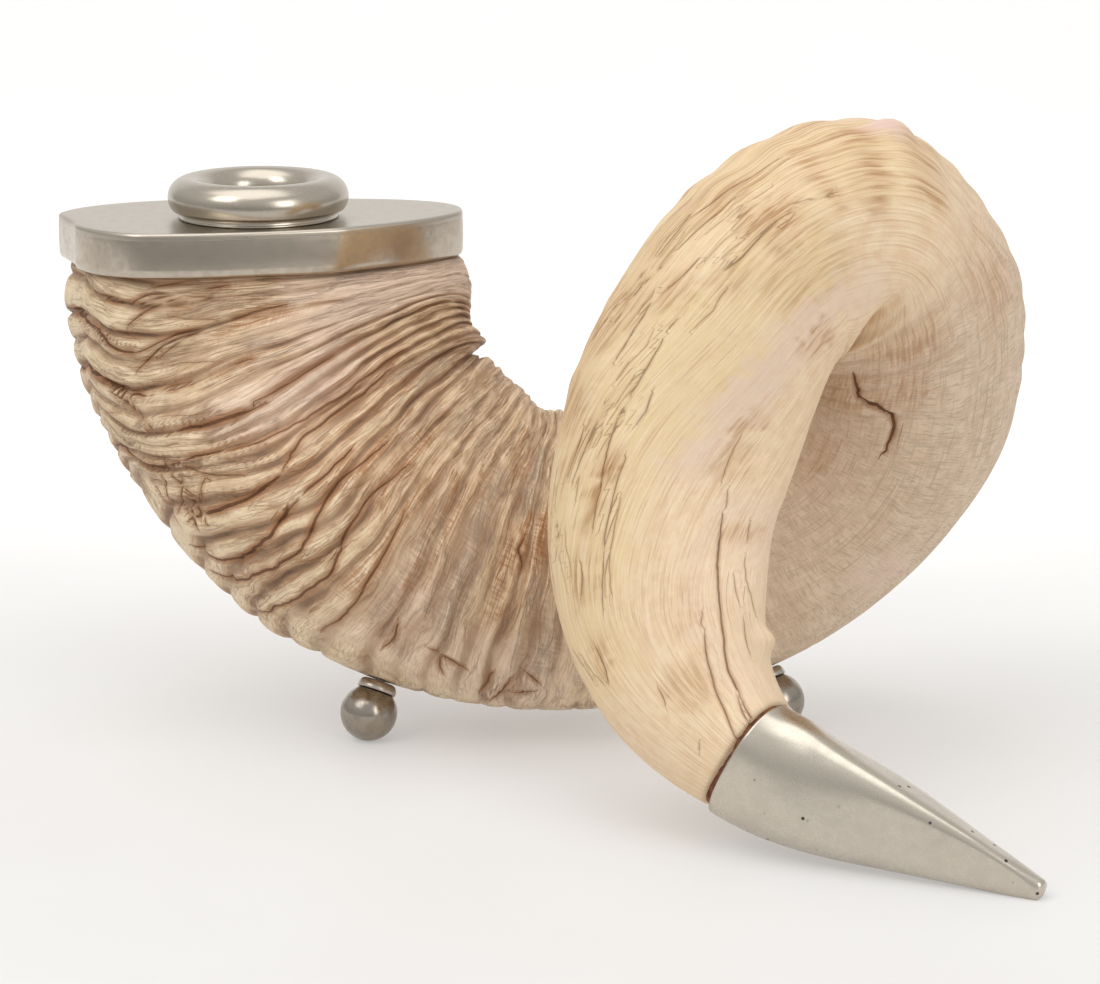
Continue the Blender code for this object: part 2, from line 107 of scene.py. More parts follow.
SOCKET_FLANGE_THICK = 0.8
PLATE_HOLE = 12.9
FERRULE_RIM_HALF = (16.8, 15.0)
FERRULE_TIP_HALF = 2.7
FERRULE_BULGE = 1.2
FERRULE_CORNER = 0.07
FERRULE_SKEW = 2.6
FERRULE_WALL = 1.0
BEDDING_THICK = 0.6
BEDDING_DEPTH = 12.0

# --------------------------------------------------------------- curve and sections
def natural_spline(knots, values, at):
    """Smooth curve through all the stations; returns value, slope and bend."""
    knots = np.asarray(knots, float)
    values = np.asarray(values, float)
    at = np.atleast_1d(np.asarray(at, float))
    n = len(knots)
    step = np.diff(knots)
    left = np.zeros((n, n))
    right = np.zeros_like(values)
    left[0, 0] = left[-1, -1] = 1.0
    for i in range(1, n - 1):
        left[i, i - 1] = step[i - 1]
        left[i, i] = 2.0 * (step[i - 1] + step[i])
        left[i, i + 1] = step[i]
        rise = (values[i + 1] - values[i]) / step[i]
        fall = (values[i] - values[i - 1]) / step[i - 1]
        right[i] = 6.0 * (rise - fall)
    bend = np.linalg.solve(left, right)
    k = np.clip(np.searchsorted(knots, at) - 1, 0, n - 2)
    h = step[k][:, None]
    a = (knots[k + 1] - at)[:, None] / h
    b = (at - knots[k])[:, None] / h
    lo, hi = values[k], values[k + 1]
    blo, bhi = bend[k], bend[k + 1]
    value = a * lo + b * hi + ((a ** 3 - a) * blo + (b ** 3 - b) * bhi) * h * h / 6.0
    slope = (hi - lo) / h + ((3 * b * b - 1) * bhi - (3 * a * a - 1) * blo) * h / 6.0
    return value, slope, a * blo + b * bhi


def unit(rows):
    return rows / np.linalg.norm(rows, axis=-1, keepdims=True)


def soft_step(x):
    x = np.clip(x, 0.0, 1.0)
    return x * x * (3.0 - 2.0 * x)


STATIONS = np.array(HORN, float)
SPANS = np.linalg.norm(np.diff(STATIONS[:, :3], axis=0), axis=1)
KNOTS = np.concatenate([[0.0], np.cumsum(SPANS)])
LENGTH = float(KNOTS[-1])
RIM = float(KNOTS[RIM_STATION])


def build_frames():
    """Middle line with its direction, outward and sideways directions."""
    t = np.linspace(0.0, LENGTH, 500)
    mid, slope, bend = natural_spline(KNOTS, STATIONS[:, :3], t)
    leave = soft_step((t - 0.3 * STRAIGHT) / (1.2 * STRAIGHT))[:, None]
    ahead = unit(unit(slope) * leave + np.array([0.0, 0.0, -1.0]) * (1.0 - leave))
    bend = bend - ahead * (bend * ahead).sum(1, keepdims=True)
    weight = np.exp(-0.5 * ((t[:, None] - t[None]) / SMOOTHING) ** 2)
    outward = -(weight @ bend)
    outward = unit(outward - ahead * (outward * ahead).sum(1, keepdims=True))
    for i in range(1, len(t)):
        if t[i] > RIM - 10.0:
            carried = outward[i - 1] - ahead[i] * (outward[i - 1] @ ahead[i])
            outward[i] = carried / np.linalg.norm(carried)
    start = np.array([-math.cos(MOUTH_TURN), -math.sin(MOUTH_TURN), 0.0])
    mix = soft_step((t - STRAIGHT) / TURN_IN)[:, None]
    outward = outward * mix + start * (1.0 - mix)
    outward = unit(outward - ahead * (outward * ahead).sum(1, keepdims=True))
    radius = (slope ** 2).sum(1) / np.maximum(np.linalg.norm(bend, axis=1), 1e-9)
    return t, mid, outward, np.cross(ahead, outward), ahead, radius


FRAME_T, FRAME_MID, FRAME_OUT, FRAME_SIDE, FRAME_AHEAD, FRAME_RADIUS = build_frames()


def frames_at(t):
    pick = lambda rows: np.stack([np.interp(t, FRAME_T, rows[:, i]) for i in range(3)], -1)
    return pick(FRAME_MID), unit(pick(FRAME_OUT)), unit(pick(FRAME_SIDE)), unit(pick(FRAME_AHEAD))


def blunt_corners(phi, corner, mouth=1.0, tip=0.0):
    """Share of the half widths reached at phi; its mean is close to one."""
    skew = MOUTH_SKEW * mouth + FERRULE_SKEW * tip
    return 1.0 - corner * np.cos(3.0 * phi - skew) - MOUTH_SQUARE * mouth * np.cos(4.0 * phi)


def section(t, phi, half_out, half_side, corner):
    """Rounded-triangle section: one blunt edge inside the curl, two outside."""
    mouth = 1.0 - soft_step((t - MOUTH_FADE[0]) / MOUTH_FADE[1])
    tip = soft_step((t - RIM + 60.0) / 60.0)
    r = blunt_corners(phi, corner, mouth, tip)
    room = np.clip(PINCH * np.interp(t, FRAME_T, FRAME_RADIUS) / half_out, 0.6, 1.0)
    a = half_out * r * np.cos(phi)
    a = np.where(a < 0.0, a * room, a)
    return a, half_side * r * np.sin(phi)


def column(values):
    return np.reshape(values, (-1, 1))


def surface(t, phi, half_out, half_side, corner):
    """Points round the sections at t, one row for each section; phi is in radians."""
    mid, out, side, _ = frames_at(t)
    a, b = section(column(t), phi[None], column(half_out), column(half_side), column(corner))
    return mid[:, None] + out[:, None] * a[..., None] + side[:, None] * b[..., None]


def ring_points(t, half_out, half_side, corner, count):
    phi = np.linspace(0.0, 2.0 * math.pi, count, endpoint=False)
    return surface(np.atleast_1d(t), phi, half_out, half_side, corner)


def ferrule_half(t):
    x = np.clip((np.asarray(t) - RIM) / (LENGTH - RIM), 0.0, 1.0)
    bulge = FERRULE_BULGE * np.sin(math.pi * x)
    return [h + (FERRULE_TIP_HALF - h) * x + bulge for h in FERRULE_RIM_HALF]


def horn_half(t):
    """Half width, half thickness and corner strength of the horn's outside."""
    t = np.atleast_1d(np.asarray(t, float))
    size = natural_spline(KNOTS, STATIONS[:, 3:], t)[0]
    out, side, corner = size[:, 0] / 2.0, size[:, 1] / 2.0, size[:, 2]
    top = STATIONS[0, 3:]
    flush = 1.0 - soft_step((t - STRAIGHT) / 10.0)
    out = out + (top[0] / 2.0 - out) * flush
    side = side + (top[1] / 2.0 - side) * flush
    corner = corner + (top[2] - corner) * flush
    inset = FERRULE_WALL + BEDDING_THICK + 2.0 * GAP
    neck = soft_step((t - (RIM - NECK_START)) / 0.8)
    neck_out, neck_side = ferrule_half(t)
    out = out + (neck_out - inset - out) * neck
    side = side + (neck_side - inset - side) * neck
    return out, side, corner + (FERRULE_CORNER - corner) * neck


def wall(t):
    body = WALL_MOUTH + (WALL_BODY - WALL_MOUTH) * soft_step(np.asarray(t) / 60.0)
    closing = np.clip((np.asarray(t) - 0.5 * CAVITY_LENGTH) / (0.5 * CAVITY_LENGTH), 0.0, 1.0)
    return body + 12.0 * closing ** 2


# ----------------------------------------------------------------------- repeatable noise
def hashed(ix, iy, seed):
    """A value from 0 to 1 that depends only on two whole numbers and the seed."""
    h = ix.astype(np.int64) * 374761393 + iy.astype(np.int64) * 668265263 + seed * 1013904223
    h &= 0xFFFFFFFF
    h = ((h ^ (h >> 13)) * 1274126177) & 0xFFFFFFFF
    h = ((h ^ (h >> 15)) * 2246822519) & 0xFFFFFFFF
    return ((h ^ (h >> 16)) & 0xFFFFFF) / 16777215.0


def noise(x, y, seed, wrap=None):
    """Smooth noise from -1 to 1; wrap is how many cells go once round in y."""
    ix, iy = np.floor(x), np.floor(y)
    fx, fy = x - ix, y - iy
    fx = fx ** 3 * (fx * (fx * 6.0 - 15.0) + 10.0)
    fy = fy ** 3 * (fy * (fy * 6.0 - 15.0) + 10.0)
    y0, y1 = (iy, iy + 1) if wrap is None else (iy % wrap, (iy + 1) % wrap)
    a, b = hashed(ix, y0, seed), hashed(ix + 1, y0, seed)
    c, d = hashed(ix, y1, seed), hashed(ix + 1, y1, seed)
    return 2.0 * ((a + (b - a) * fx) * (1.0 - fy) + (c + (d - c) * fx) * fy) - 1.0


def cloud(along, turns, cell, cells_round, seed, octaves=3):
    """Layered noise on the horn's skin; cell is in mm along, cells_round goes round once."""
    total = 0.0
    weight = 0.0
    for k in range(octaves):
        size = 2 ** k
        total = total + noise(along / cell * size, turns * cells_round * size, seed + 17 * k,
                              cells_round * size) / size
        weight += 1.0 / size
    return total / weight * 1.5


def ramp(x, low, high):
    return soft_step((x - low) / (high - low))


def between(x, rise_from, rise_to, fall_from, fall_to):
    return ramp(x, rise_from, rise_to) * (1.0 - ramp(x, fall_from, fall_to))


def window(x, low, high, soft):
    return between(x, low - soft, low + soft, high - soft, high + soft)


def half_turn(degrees):
    """The same direction as an angle from -180 to 180 degrees."""
    return (degrees + 180.0) % 360.0 - 180.0


def hill(x, wide, y=0.0, tall=1.0):
    """A smooth bump of height 1 that fades over wide and tall."""
    return np.exp(-(x / wide) ** 2 - (y / tall) ** 2)


# ---------------------------------------------------------------------------- horn's skin
STRETCHES = ((0.0, 10.0, 1.0), (10.0, 108.0, 0.5), (108.0, 160.0, 0.7), (160.0, 300.0, 1.25),
             (300.0, 360.0, 1.0), (360.0, RIM - NECK_START, 1.1))
AROUND = 156
FRONT_FROM, FRONT_TO = -158.0, 22.0       # degrees: the closely divided side
FRONT_SHARE = 0.66


def rows_along():
    rows = [np.arange(lo, hi - 0.5 * step, step) for lo, hi, step in STRETCHES]
    neck = [RIM - NECK_START, RIM - NECK_START + 0.4, RIM - NECK_START + 0.8]
    return np.concatenate(rows + [neck, np.linspace(RIM + 3.0, RIM + HORN_IN_FERRULE, 7)])


def columns_around():
    front = int(AROUND * FRONT_SHARE)
    a = np.linspace(FRONT_FROM, FRONT_TO, front, endpoint=False)
    b = np.linspace(FRONT_TO, FRONT_FROM + 360.0, AROUND - front, endpoint=False)
    return np.concatenate([a, b])


# grooves between the growth folds: where they cross the front, and their depth
# on the outside, across the front and inside the curl
GROOVES = (
    (13.5, 0.8, 0.5, 0.3), (21.0, 0.7, 0.3, 0.1), (30.0, 1.0, 0.6, 0.2), (37.5, 0.6, 0.2, 0.1),
    (45.0, 1.0, 0.6, 0.2), (52.0, 0.6, 0.5, 0.8), (58.0, 0.9, 0.8, 1.0), (62.0, 0.4, 0.6, 0.8),
    (65.5, 0.9, 0.9, 0.9), (69.5, 0.9, 1.0, 0.9), (73.0, 0.5, 0.7, 0.6), (77.0, 1.0, 1.0, 0.9),
    (83.5, 0.9, 0.7, 0.8), (88.0, 0.8, 0.6, 0.5), (93.0, 0.9, 0.7, 0.5), (99.0, 0.7, 0.4, 0.5),
    (104.5, 0.4, 0.5, 0.5), (111.0, 0.6, 0.5, 0.5), (116.5, 0.3, 0.4, 0.5), (122.0, 0.5, 0.5, 0.5),
    (128.0, 0.4, 0.5, 0.5), (134.0, 0.6, 0.5, 0.5), (139.5, 0.5, 0.5, 0.5), (146.0, 0.3, 0.5, 0.4),
    (153.0, 0.4, 0.4, 0.4), (159.0, 0.3, 0.4, 0.4), (167.0, 0.4, 0.4, 0.4), (176.0, 0.3, 0.3, 0.4),
    (184.0, 0.3, 0.3, 0.3), (195.0, 0.3, 0.3, 0.3), (206.0, 0.2, 0.2, 0.3), (221.0, 0.2, 0.2, 0.3),
)
# how far each groove slides towards the mouth on the outside of the curl
SLIDE = ((0, 3), (20, 8), (30, 11), (45, 15), (60, 20), (72, 20), (79, 14), (90, 8), (102, 6),
         (112, 2), (125, 0))
# and how far it moves inside the curl
INNER_SLIDE = ((0, 0), (30, -3), (50, -8), (70, -8), (78, -3), (86, 3), (95, 10), (112, 8),
               (130, 4), (150, 0))


def fold_place(t, away, turns):
    """Where a point lies between the grooves, measured as they cross the front."""
    slide = np.array(SLIDE, float)
    inner = np.array(INNER_SLIDE, float)
    wander = 1.3 * cloud(t, turns, 16.0, 9, 3) + 0.7 * cloud(t, turns, 6.0, 21, 5, 2)
    wander = wander * ramp(t, 8.0, 20.0)
    outside = 1.0 - ramp(away, 12.0, 76.0)
    inside = ramp(away, 100.0, 175.0)
    place = t + wander
    for _ in range(8):
        move = np.interp(place, slide[:, 0], slide[:, 1]) * outside
        move = move - np.interp(place, inner[:, 0], inner[:, 1]) * inside
        place = t + wander + move
    return place


def fold_shape(place, away, turns):
    """Signed distance to the nearest groove, its strength, the spacing and the bulge."""
    at = np.array([g[0] for g in GROOVES])
    depth = np.array([g[1:] for g in GROOVES])
    i = np.clip(np.searchsorted(at, place) - 1, 0, len(at) - 2)
    low, high = at[i], at[i + 1]
    gap = high - low
    f = np.clip((place - low) / gap, 0.0, 1.0)
    near = np.where(f < 0.5, i, i + 1)
    outside = 1.0 - ramp(away, 40.0, 85.0)
    inside = ramp(away, 115.0, 160.0)
    share = np.stack([outside, 1.0 - outside - inside, inside], -1)
    strength = (depth[near] * share).sum(-1)
    left = (depth[i] * share).sum(-1)
    right = (depth[i + 1] * share).sum(-1)
    level = left * (1.0 - f) + right * f
    bulge = (4.0 * f * (1.0 - f)) ** 0.62 * level
    strength = strength * ramp(np.abs(2.0 * f - 1.0), 0.15, 0.4)
    strength = strength * np.clip(0.9 + 0.45 * cloud(place, turns, 9.0, 26, 11, 2), 0.0, 1.4)
    return place - at[near], strength, gap, bulge


# long cracks: width, depth, then points (mm along, degrees round)
CRACKS = (
    (0.95, 1.8, (303, -138), (297, -135), (293, -134), (289, -132), (286, -126), (284, -119),
     (281, -112), (275, -110), (265, -111)),
    (0.35, 0.5, (355, -48), (362, -49), (368, -50), (372, -47), (380, -46), (388, -46)),
    (0.34, 0.5, (391, -48), (396, -51), (403, -54), (410, -56), (418, -60), (426, -65),
     (434, -67)),
    (0.28, 0.4, (403, -63), (407, -66), (411, -66)),
    (0.30, 0.5, (418, -70), (426, -72), (434, -74), (442, -76), (448, -76), (453, -75)),
    (0.20, 0.3, (427, -76), (434, -78), (441, -79), (449, -81)),
    (0.32, 0.5, (410, -46), (417, -47), (425, -47)),
    (0.28, 0.4, (414, -40), (419, -42), (424, -42)),
    (0.34, 0.5, (432, -40), (436, -44), (440, -41)),
    (0.30, 0.4, (441, -63), (444, -64), (448, -63)),
    (0.34, 0.5, (460, -63), (464, -62), (468, -58)),
    (0.26, 0.4, (372, -33), (376, -32), (380, -30)),
    (0.30, 0.5, (384, -27), (391, -30), (399, -34)),
    (0.24, 0.4, (397, -42), (403, -43)),
    (0.34, 0.5, (360, -22), (366, -19), (372, -17)),
    (0.36, 0.6, (376, -16), (380, -11), (385, -9), (391, -12)),
    (0.34, 0.6, (350, -17), (355, -14), (361, -8), (366, -3), (374, -5)),
    (0.34, 0.6, (378, -4), (384, 1), (391, -2), (396, 4)),
    (0.45, 1.0, (428, -130), (434, -134), (443, -138), (452, -141), (461, -142), (468, -141),
     (474, -139), (480, -134), (484, -131), (490, -129), (494, -126), (498, -124)),
    (0.40, 0.8, (490, -127), (493, -124), (496, -121), (499, -119)),
    (0.36, 0.8, (469, -129), (474, -125), (480, -121), (487, -114), (493, -109), (499, -102)),
    (0.22, 0.3, (443, -157), (452, -161), (460, -166), (468, -170)),
    (0.22, 0.3, (430, -150), (435, -153)), (0.2, 0.3, (462, -131), (466, -128), (468, -130)),
    (0.26, 0.3, (476, -85), (480, -81)), (0.22, 0.3, (470, -157), (476, -155), (481, -154)),
    (0.22, 0.3, (492, -77), (493, -72)), (0.2, 0.3, (404, -112), (411, -115), (418, -119)),
    (0.22, 0.3, (421, -126), (426, -130)), (0.18, 0.3, (450, -151), (456, -153), (462, -155)),
    (0.55, 1.0, (111, -47), (112, -41), (111, -34)),
    (0.5, 1.0, (122, -45), (123, -39), (124, -37)),
    (0.5, 1.0, (120, -46), (124, -45), (128, -44)),
    (0.55, 1.0, (134, -47), (134, -40), (133, -33)),
    (0.6, 1.0, (138, -46), (137, -38), (136, -28)), (0.5, 1.0, (143, -42), (140, -38)),
    (0.55, 1.2, (133, -99), (132, -94), (134, -90), (134, -87)),
    (0.5, 0.9, (141, -52), (144, -48)),
    (1.1, 1.6, (67, -36), (69, -33), (70, -30)), (0.6, 1.0, (66, -40), (69, -39), (71, -36)),
    (0.4, 0.8, (15, -74), (17, -66), (16, -58), (19, -52)),
    (0.4, 0.8, (19, -66), (21, -58), (25, -52)),
    (0.45, 0.9, (30, -82), (32, -73), (33, -64), (37, -56)), (0.3, 0.6, (33, -70), (36, -63)),
    (0.35, 0.7, (45, -84), (46, -72), (44, -60)), (0.3, 0.5, (41, -50), (48, -53), (54, -55)),
    (0.35, 0.6, (17, -48), (16, -40)), (0.3, 0.5, (12, -70), (14, -60)),
    # furrows that wander between the folds
    (0.50, 0.8, (15, -80), (16, -72), (17, -66), (18, -60), (20, -54), (18, -48), (17, -42)),
    (0.40, 0.6, (19, -62), (21, -55), (19, -50)),
    (0.45, 0.8, (28, -98), (29, -88), (31, -78), (31, -68), (32, -62), (33, -56)),
    (0.85, 1.2, (33, -56), (31, -48), (28, -42), (25, -36), (23, -28), (21, -18), (20, -6),
     (19, 6), (19, 16)),
    (0.45, 0.8, (46, -90), (45, -82), (46, -74), (44, -66), (44, -58)),
    (0.70, 1.1, (44, -58), (41, -50), (38, -44), (36, -38), (34, -30), (33, -22), (31, -12),
     (31, 0), (30, 14)),
    (0.50, 0.8, (53, -54), (47, -52), (42, -48), (39, -43)),
    (0.55, 0.9, (60, -84), (58, -74), (55, -64), (53, -56)),
    (0.35, 0.5, (57, -110), (58, -95), (58, -82)),
    (0.45, 0.7, (66, -130), (68, -115), (69, -100), (69, -85), (67, -72), (64, -64)),
    (0.65, 1.0, (64, -64), (61, -57), (59, -48), (56, -40), (52, -34), (49, -28), (47, -18),
     (46, -4), (45, 10)),
    (0.50, 0.8, (70, -120), (72, -105), (72, -90), (72, -78), (75, -66)),
    (0.80, 1.2, (75, -66), (74, -54), (72, -46), (70, -37), (69, -31)),
    (0.70, 1.1, (81, -84), (81, -70), (80, -58), (81, -46), (80, -34), (79, -24), (77, -16),
     (74, -9), (71, -5)),
    (0.60, 0.9, (86, -92), (84, -74), (85, -60), (87, -48), (85, -36), (83, -24), (81, -10),
     (79, -2), (76, 5)),
    (0.55, 0.9, (94, -90), (91, -74), (92, -60), (94, -48), (92, -36), (91, -26), (89, -14),
     (88, -2), (86, 8)),
    (0.45, 0.7, (100, -78), (101, -62), (101, -44), (100, -30), (98, -16)),
    (0.40, 0.6, (59, -43), (62, -35), (64, -28)), (0.40, 0.6, (63, -47), (65, -39), (66, -30)),
    (0.50, 0.8, (60, -30), (63, -24), (67, -21)), (0.40, 0.6, (58, -49), (62, -45), (68, -43)),
    (0.35, 0.5, (66, -52), (68, -44), (67, -34)), (0.35, 0.5, (61, -52), (66, -55), (70, -60)),
)


def skin(t, phi):
    """Points on the horn's smooth outside, for matching lists of t and phi."""
    out_half, side_half, corner = horn_half(t)
    mid, out, side, _ = frames_at(t)
    a, b = section(t, phi, out_half, side_half, corner)
    return mid + out * a[:, None] + side * b[:, None]


FOLDS_TO = 110          # mm along; cracks that start before this are wider
LIMB_CRACKS = 120
FOLD_CRACKS = 26


def crack_lines():
    """The long cracks and many short ones on the outside of the front limb."""
    rng = np.random.RandomState(5)
    lines = []
    for width, depth, *points in CRACKS:
        on_folds = points[0][0] < FOLDS_TO
        lines.append((width * (1.3 if on_folds else 1.0), depth, np.array(points, float)))
    for _ in range(LIMB_CRACKS):
        t0 = rng.uniform(338.0, 466.0)
        deg = rng.uniform(-56.0, 80.0)
        if -35.0 < deg and rng.rand() < 0.25:
            continue
        count = int(rng.randint(3, 6))
        step = rng.uniform(1.6, 4.2)
        slope = rng.uniform(-0.9, -0.1) if t0 > 385.0 else rng.uniform(-0.3, 0.6)
        t = t0 + step * np.arange(count)
        degs = deg + slope * step * np.arange(count) + rng.uniform(-1.0, 1.0, count)
        lines.append((rng.uniform(0.07, 0.17), 0.25, np.stack([t, degs], 1)))
    for _ in range(FOLD_CRACKS):
        t0 = rng.uniform(14.0, 92.0)
        deg = rng.uniform(-84.0, -36.0) if rng.rand() < 0.6 else rng.uniform(36.0, 84.0)
        count = int(rng.randint(3, 5))
        step = rng.uniform(3.0, 6.0)
        degs = deg + step * np.arange(count)
        t = t0 - np.sign(-deg) * 0.28 * (degs - deg) + rng.uniform(-0.9, 0.9, count)
        lines.append((rng.uniform(0.08, 0.2), 0.4, np.stack([t, degs], 1)))
    return lines


def crack_fields(t, deg, points, normals):
    """Signed distance to the nearest crack, its half width, darkness and depth."""
    far = np.full(points.shape[:2], 9.0)
    nearest, second, signed, half = far.copy(), far.copy(), far.copy(), far * 0.0
    depth, dark = far * 0.0, far * 0.0
    rng = np.random.RandomState(9)
    column_deg = half_turn(deg)
    for width, deep, path in crack_lines():
        pieces = [path[0]]
        for a, b in zip(path[:-1], path[1:]):
            count = max(1, int(abs(b[0] - a[0]) / 2.0 + abs(b[1] - a[1]) / 3.0))
            wild = 3.2 if width > 0.9 and a[0] > 200.0 else 1.0
            for k in range(1, count + 1):
                p = a + (b - a) * k / count
                moves = k < count or width > 0.5
                sway = rng.uniform(-1.0, 1.0, 2) * (0.28 * wild, 0.32 * wild) * moves
                pieces.append(p + sway)
        path = np.array(pieces)
        line = skin(path[:, 0], np.radians(path[:, 1]))
        rows = np.where((t > path[:, 0].min() - 3.0) & (t < path[:, 0].max() + 3.0))[0]
        cols = np.where((column_deg > path[:, 1].min() - 5.0)
                        & (column_deg < path[:, 1].max() + 5.0))[0]
        if not len(rows) or not len(cols):
            continue
        pick = np.ix_(rows, cols)
        p = points[pick][:, :, None]
        a, b = line[:-1], line[1:]
        along = b - a
        length2 = (along ** 2).sum(1)
        s = np.clip(((p - a) * along).sum(-1) / length2, 0.0, 1.0)
        off = p - (a + along * s[..., None])
        gap = np.linalg.norm(off, axis=-1)
        k = gap.argmin(-1)
        take = lambda values: np.take_along_axis(values, k[..., None], -1)[..., 0]
        d = take(gap)
        place = (k + take(s)) / len(a)
        side = (np.cross(along[k], normals[pick]) * np.take_along_axis(
            off, k[..., None, None], 2)[:, :, 0]).sum(-1)
        taper = np.clip(np.sin(math.pi * np.clip(place, 0.02, 0.98)), 0.0, 1.0) ** 0.6
        if path[-1, 0] > RIM - 3.0:
            taper = np.clip(place * 6.0, 0.15, 1.0)
        better = d < nearest[pick]
        second[pick] = np.where(better, nearest[pick], np.minimum(second[pick], d))
        signed[pick] = np.where(better, d * np.sign(side), signed[pick])
        half[pick] = np.where(better, 0.5 * width * (0.3 + 0.7 * taper), half[pick])
        dark[pick] = np.where(better, min(1.0, 0.34 + 0.75 * width), dark[pick])
        nearest[pick] = np.where(better, d, nearest[pick])
        carve = deep * taper * hill(d, max(width, 0.5))
        depth[pick] = np.maximum(depth[pick], carve)
    dark = dark * (1.0 - ramp(nearest, 1.7, 2.6)) * ramp(second - nearest, 0.1, 0.8)
    return np.clip(signed, -3.0, 3.0), half, dark, depth


# patches of colour: from and to along (mm), from and to round (degrees), strength
PATCHES = {
    "grey": ((74, 80, -146, -118, 0.8), (80, 84, -134, -118, 0.8), (87, 91, -128, -98, 0.7),
        (96, 101, -140, -112, 0.6), (106, 112, -90, -50, 0.8), (107, 112, -138, -112, 0.7),
        (116, 124, -118, -52, 0.9), (127, 134, -142, -108, 0.8), (137, 147, -84, -54, 0.9),
        (33, 38, -126, -114, 0.5), (59, 63, -120, -80, 0.4), (150, 158, -110, -50, 0.7),
        (163, 171, -130, -60, 0.7), (178, 184, -120, -50, 0.6)),
    "stain": ((28, 34, -106, -78, 0.7), (12, 40, -84, -76, 0.35), (44, 49, -94, -76, 0.6),
        (75, 80, -94, -66, 0.5), (83, 87, -96, -80, 0.9), (91, 96, -112, -78, 0.9),
        (99, 104, -92, -42, 0.7), (108, 114, -96, -60, 0.9), (114, 117, -130, -100, 0.7),
        (120, 128, -140, -118, 0.6), (127, 132, -100, -70, 0.9), (131, 142, -106, -84, 1.0),
        (77, 82, -170, -150, 0.7), (96, 118, -100, -40, 0.3), (62, 76, -80, -40, 0.3),
        (142, 150, -130, -100, 0.7)),
    "brown": ((282, 303, -152, -128, 0.5), (286, 300, -126, -100, 0.5),
        (303, 316, -128, -84, 0.5), (238, 262, -150, -132, 0.35), (300, 318, -70, -40, 0.35),
        (337, 343, -62, -8, 0.75), (346, 350, -60, -14, 0.6), (354, 364, -62, -34, 0.75),
        (368, 376, -62, -44, 0.45), (352, 376, -22, 8, 0.5), (376, 386, -44, -26, 0.5),
        (380, 400, -24, 14, 0.55), (404, 416, -32, 8, 0.5), (364, 376, -116, -104, 0.6),
        (396, 406, -118, -106, 0.55), (418, 434, -70, -60, 0.75), (410, 426, -50, -36, 0.4),
        (438, 450, -70, -60, 0.45), (458, 468, -68, -56, 0.5), (404, 418, -130, -108, 0.35),
        (430, 437, -160, -130, 0.4), (450, 466, -126, -112, 0.3), (474, 486, -118, -90, 0.4),
        (326, 334, -60, 0, 0.6), (336, 352, -34, 24, 0.4), (350, 372, -90, -60, 0.35)),
    "pink": ((10, 52, -178, -96, 0.9), (52, 70, -120, -70, 0.8), (222, 238, -84, -64, 1.0),
        (336, 350, -118, -92, 0.8), (350, 420, -112, -88, 0.9), (420, 500, -180, -120, 0.5),
        (105, 150, -66, -20, 0.7), (330, 336, -20, -8, 1.0), (376, 398, -96, -86, 0.8)),
    "yellow": ((352, 420, -92, -34, 0.8), (420, 470, -90, -28, 0.7), (330, 470, -34, 60, 0.6),
        (460, 500, -178, -130, 0.5), (430, 470, -148, -128, 0.4)),
}
FOLD_KINDS = ("grey", "stain")       # these follow the folds and have crisp edges


def tint_fields(t, place, deg, turns):
    """How strongly each kind of colour shows at every point of the skin."""
    kinds = {kind: np.zeros(place.shape) for kind in PATCHES}
    ragged = 1.6 * cloud(place, turns, 5.0, 60, 41) + 1.2 * cloud(place, turns, 14.0, 18, 43)
    uneven = 6.0 * cloud(place, turns, 2.2, 24, 47) + 5.0 * cloud(place, turns, 9.0, 40, 53)
    listed = [(kind, *patch) for kind, patches in PATCHES.items() for patch in patches]
    for kind, t0, t1, d0, d1, strength in listed:
        crisp = kind in FOLD_KINDS
        where = place if crisp or t0 <= 190 else t
        soft_t = 1.6 if crisp else min(6.0, 0.22 * (t1 - t0) + 1.0)
        soft_d = 5.0 if crisp else min(9.0, 0.25 * (d1 - d0) + 1.5)
        along = window(where + 0.5 * ragged, t0, t1, soft_t)
        for sign, weight in ((1.0, 1.0), (-1.0, 0.8)):
            angle = deg * sign + uneven
            if d0 <= -176:
                round_ = 1.0 - ramp(angle, d1 - soft_d, d1 + soft_d)
            else:
                round_ = window(angle, d0, d1, soft_d)
            kinds[kind] = np.maximum(kinds[kind], strength * weight * along * round_)
    return kinds


# broad swellings and hollows: along, round, spread of each, height in mm
SWELLS = (
    (33, 10, 20, 36, 2.4), (56, -20, 10, 24, -2.4), (68, 12, 12, 36, -1.8), (90, 8, 9, 30, 0.5),
    (71, 180, 7, 40, 4.6), (98, -172, 9, 34, 2.8), (130, -172, 9, 34, -2.8),
    (30, 180, 20, 36, 2.6),
    (320, -32, 9, 24, -4.4), (333, -13, 4, 10, 2.6), (354, 0, 18, 30, -2.4),
    (404, 14, 12, 26, 0.6),
    (300, -31, 8, 24, 0.9), (281, -36, 12, 28, -1.3), (442, -168, 20, 34, -2.6),
    (477, -178, 4.5, 11, 3.2),
)


def swell(t, deg):
    total = 0.0
    for at, angle, wide, round_, height in SWELLS:
        total = total + height * hill(t - at, wide, half_turn(deg - angle), round_)
    return total


def seat_fade(points):
    """Near the feet the skin keeps its smooth shape, so the pads sit flat on it."""
    keep = np.ones(points.shape[:2])
    for label in ("front", "rear"):
        low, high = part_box("foot_pad_" + label)
        centre = (np.array(low) + np.array(high)) / 2.0 / MM - SHIFT
        far = np.linalg.norm(points - centre, axis=-1)
        keep = np.minimum(keep, 0.1 + 0.9 * ramp(far, 7.0, 15.0))
    return keep


CHIP_AT = 334.5          # mm along to the small chip on top of the curl


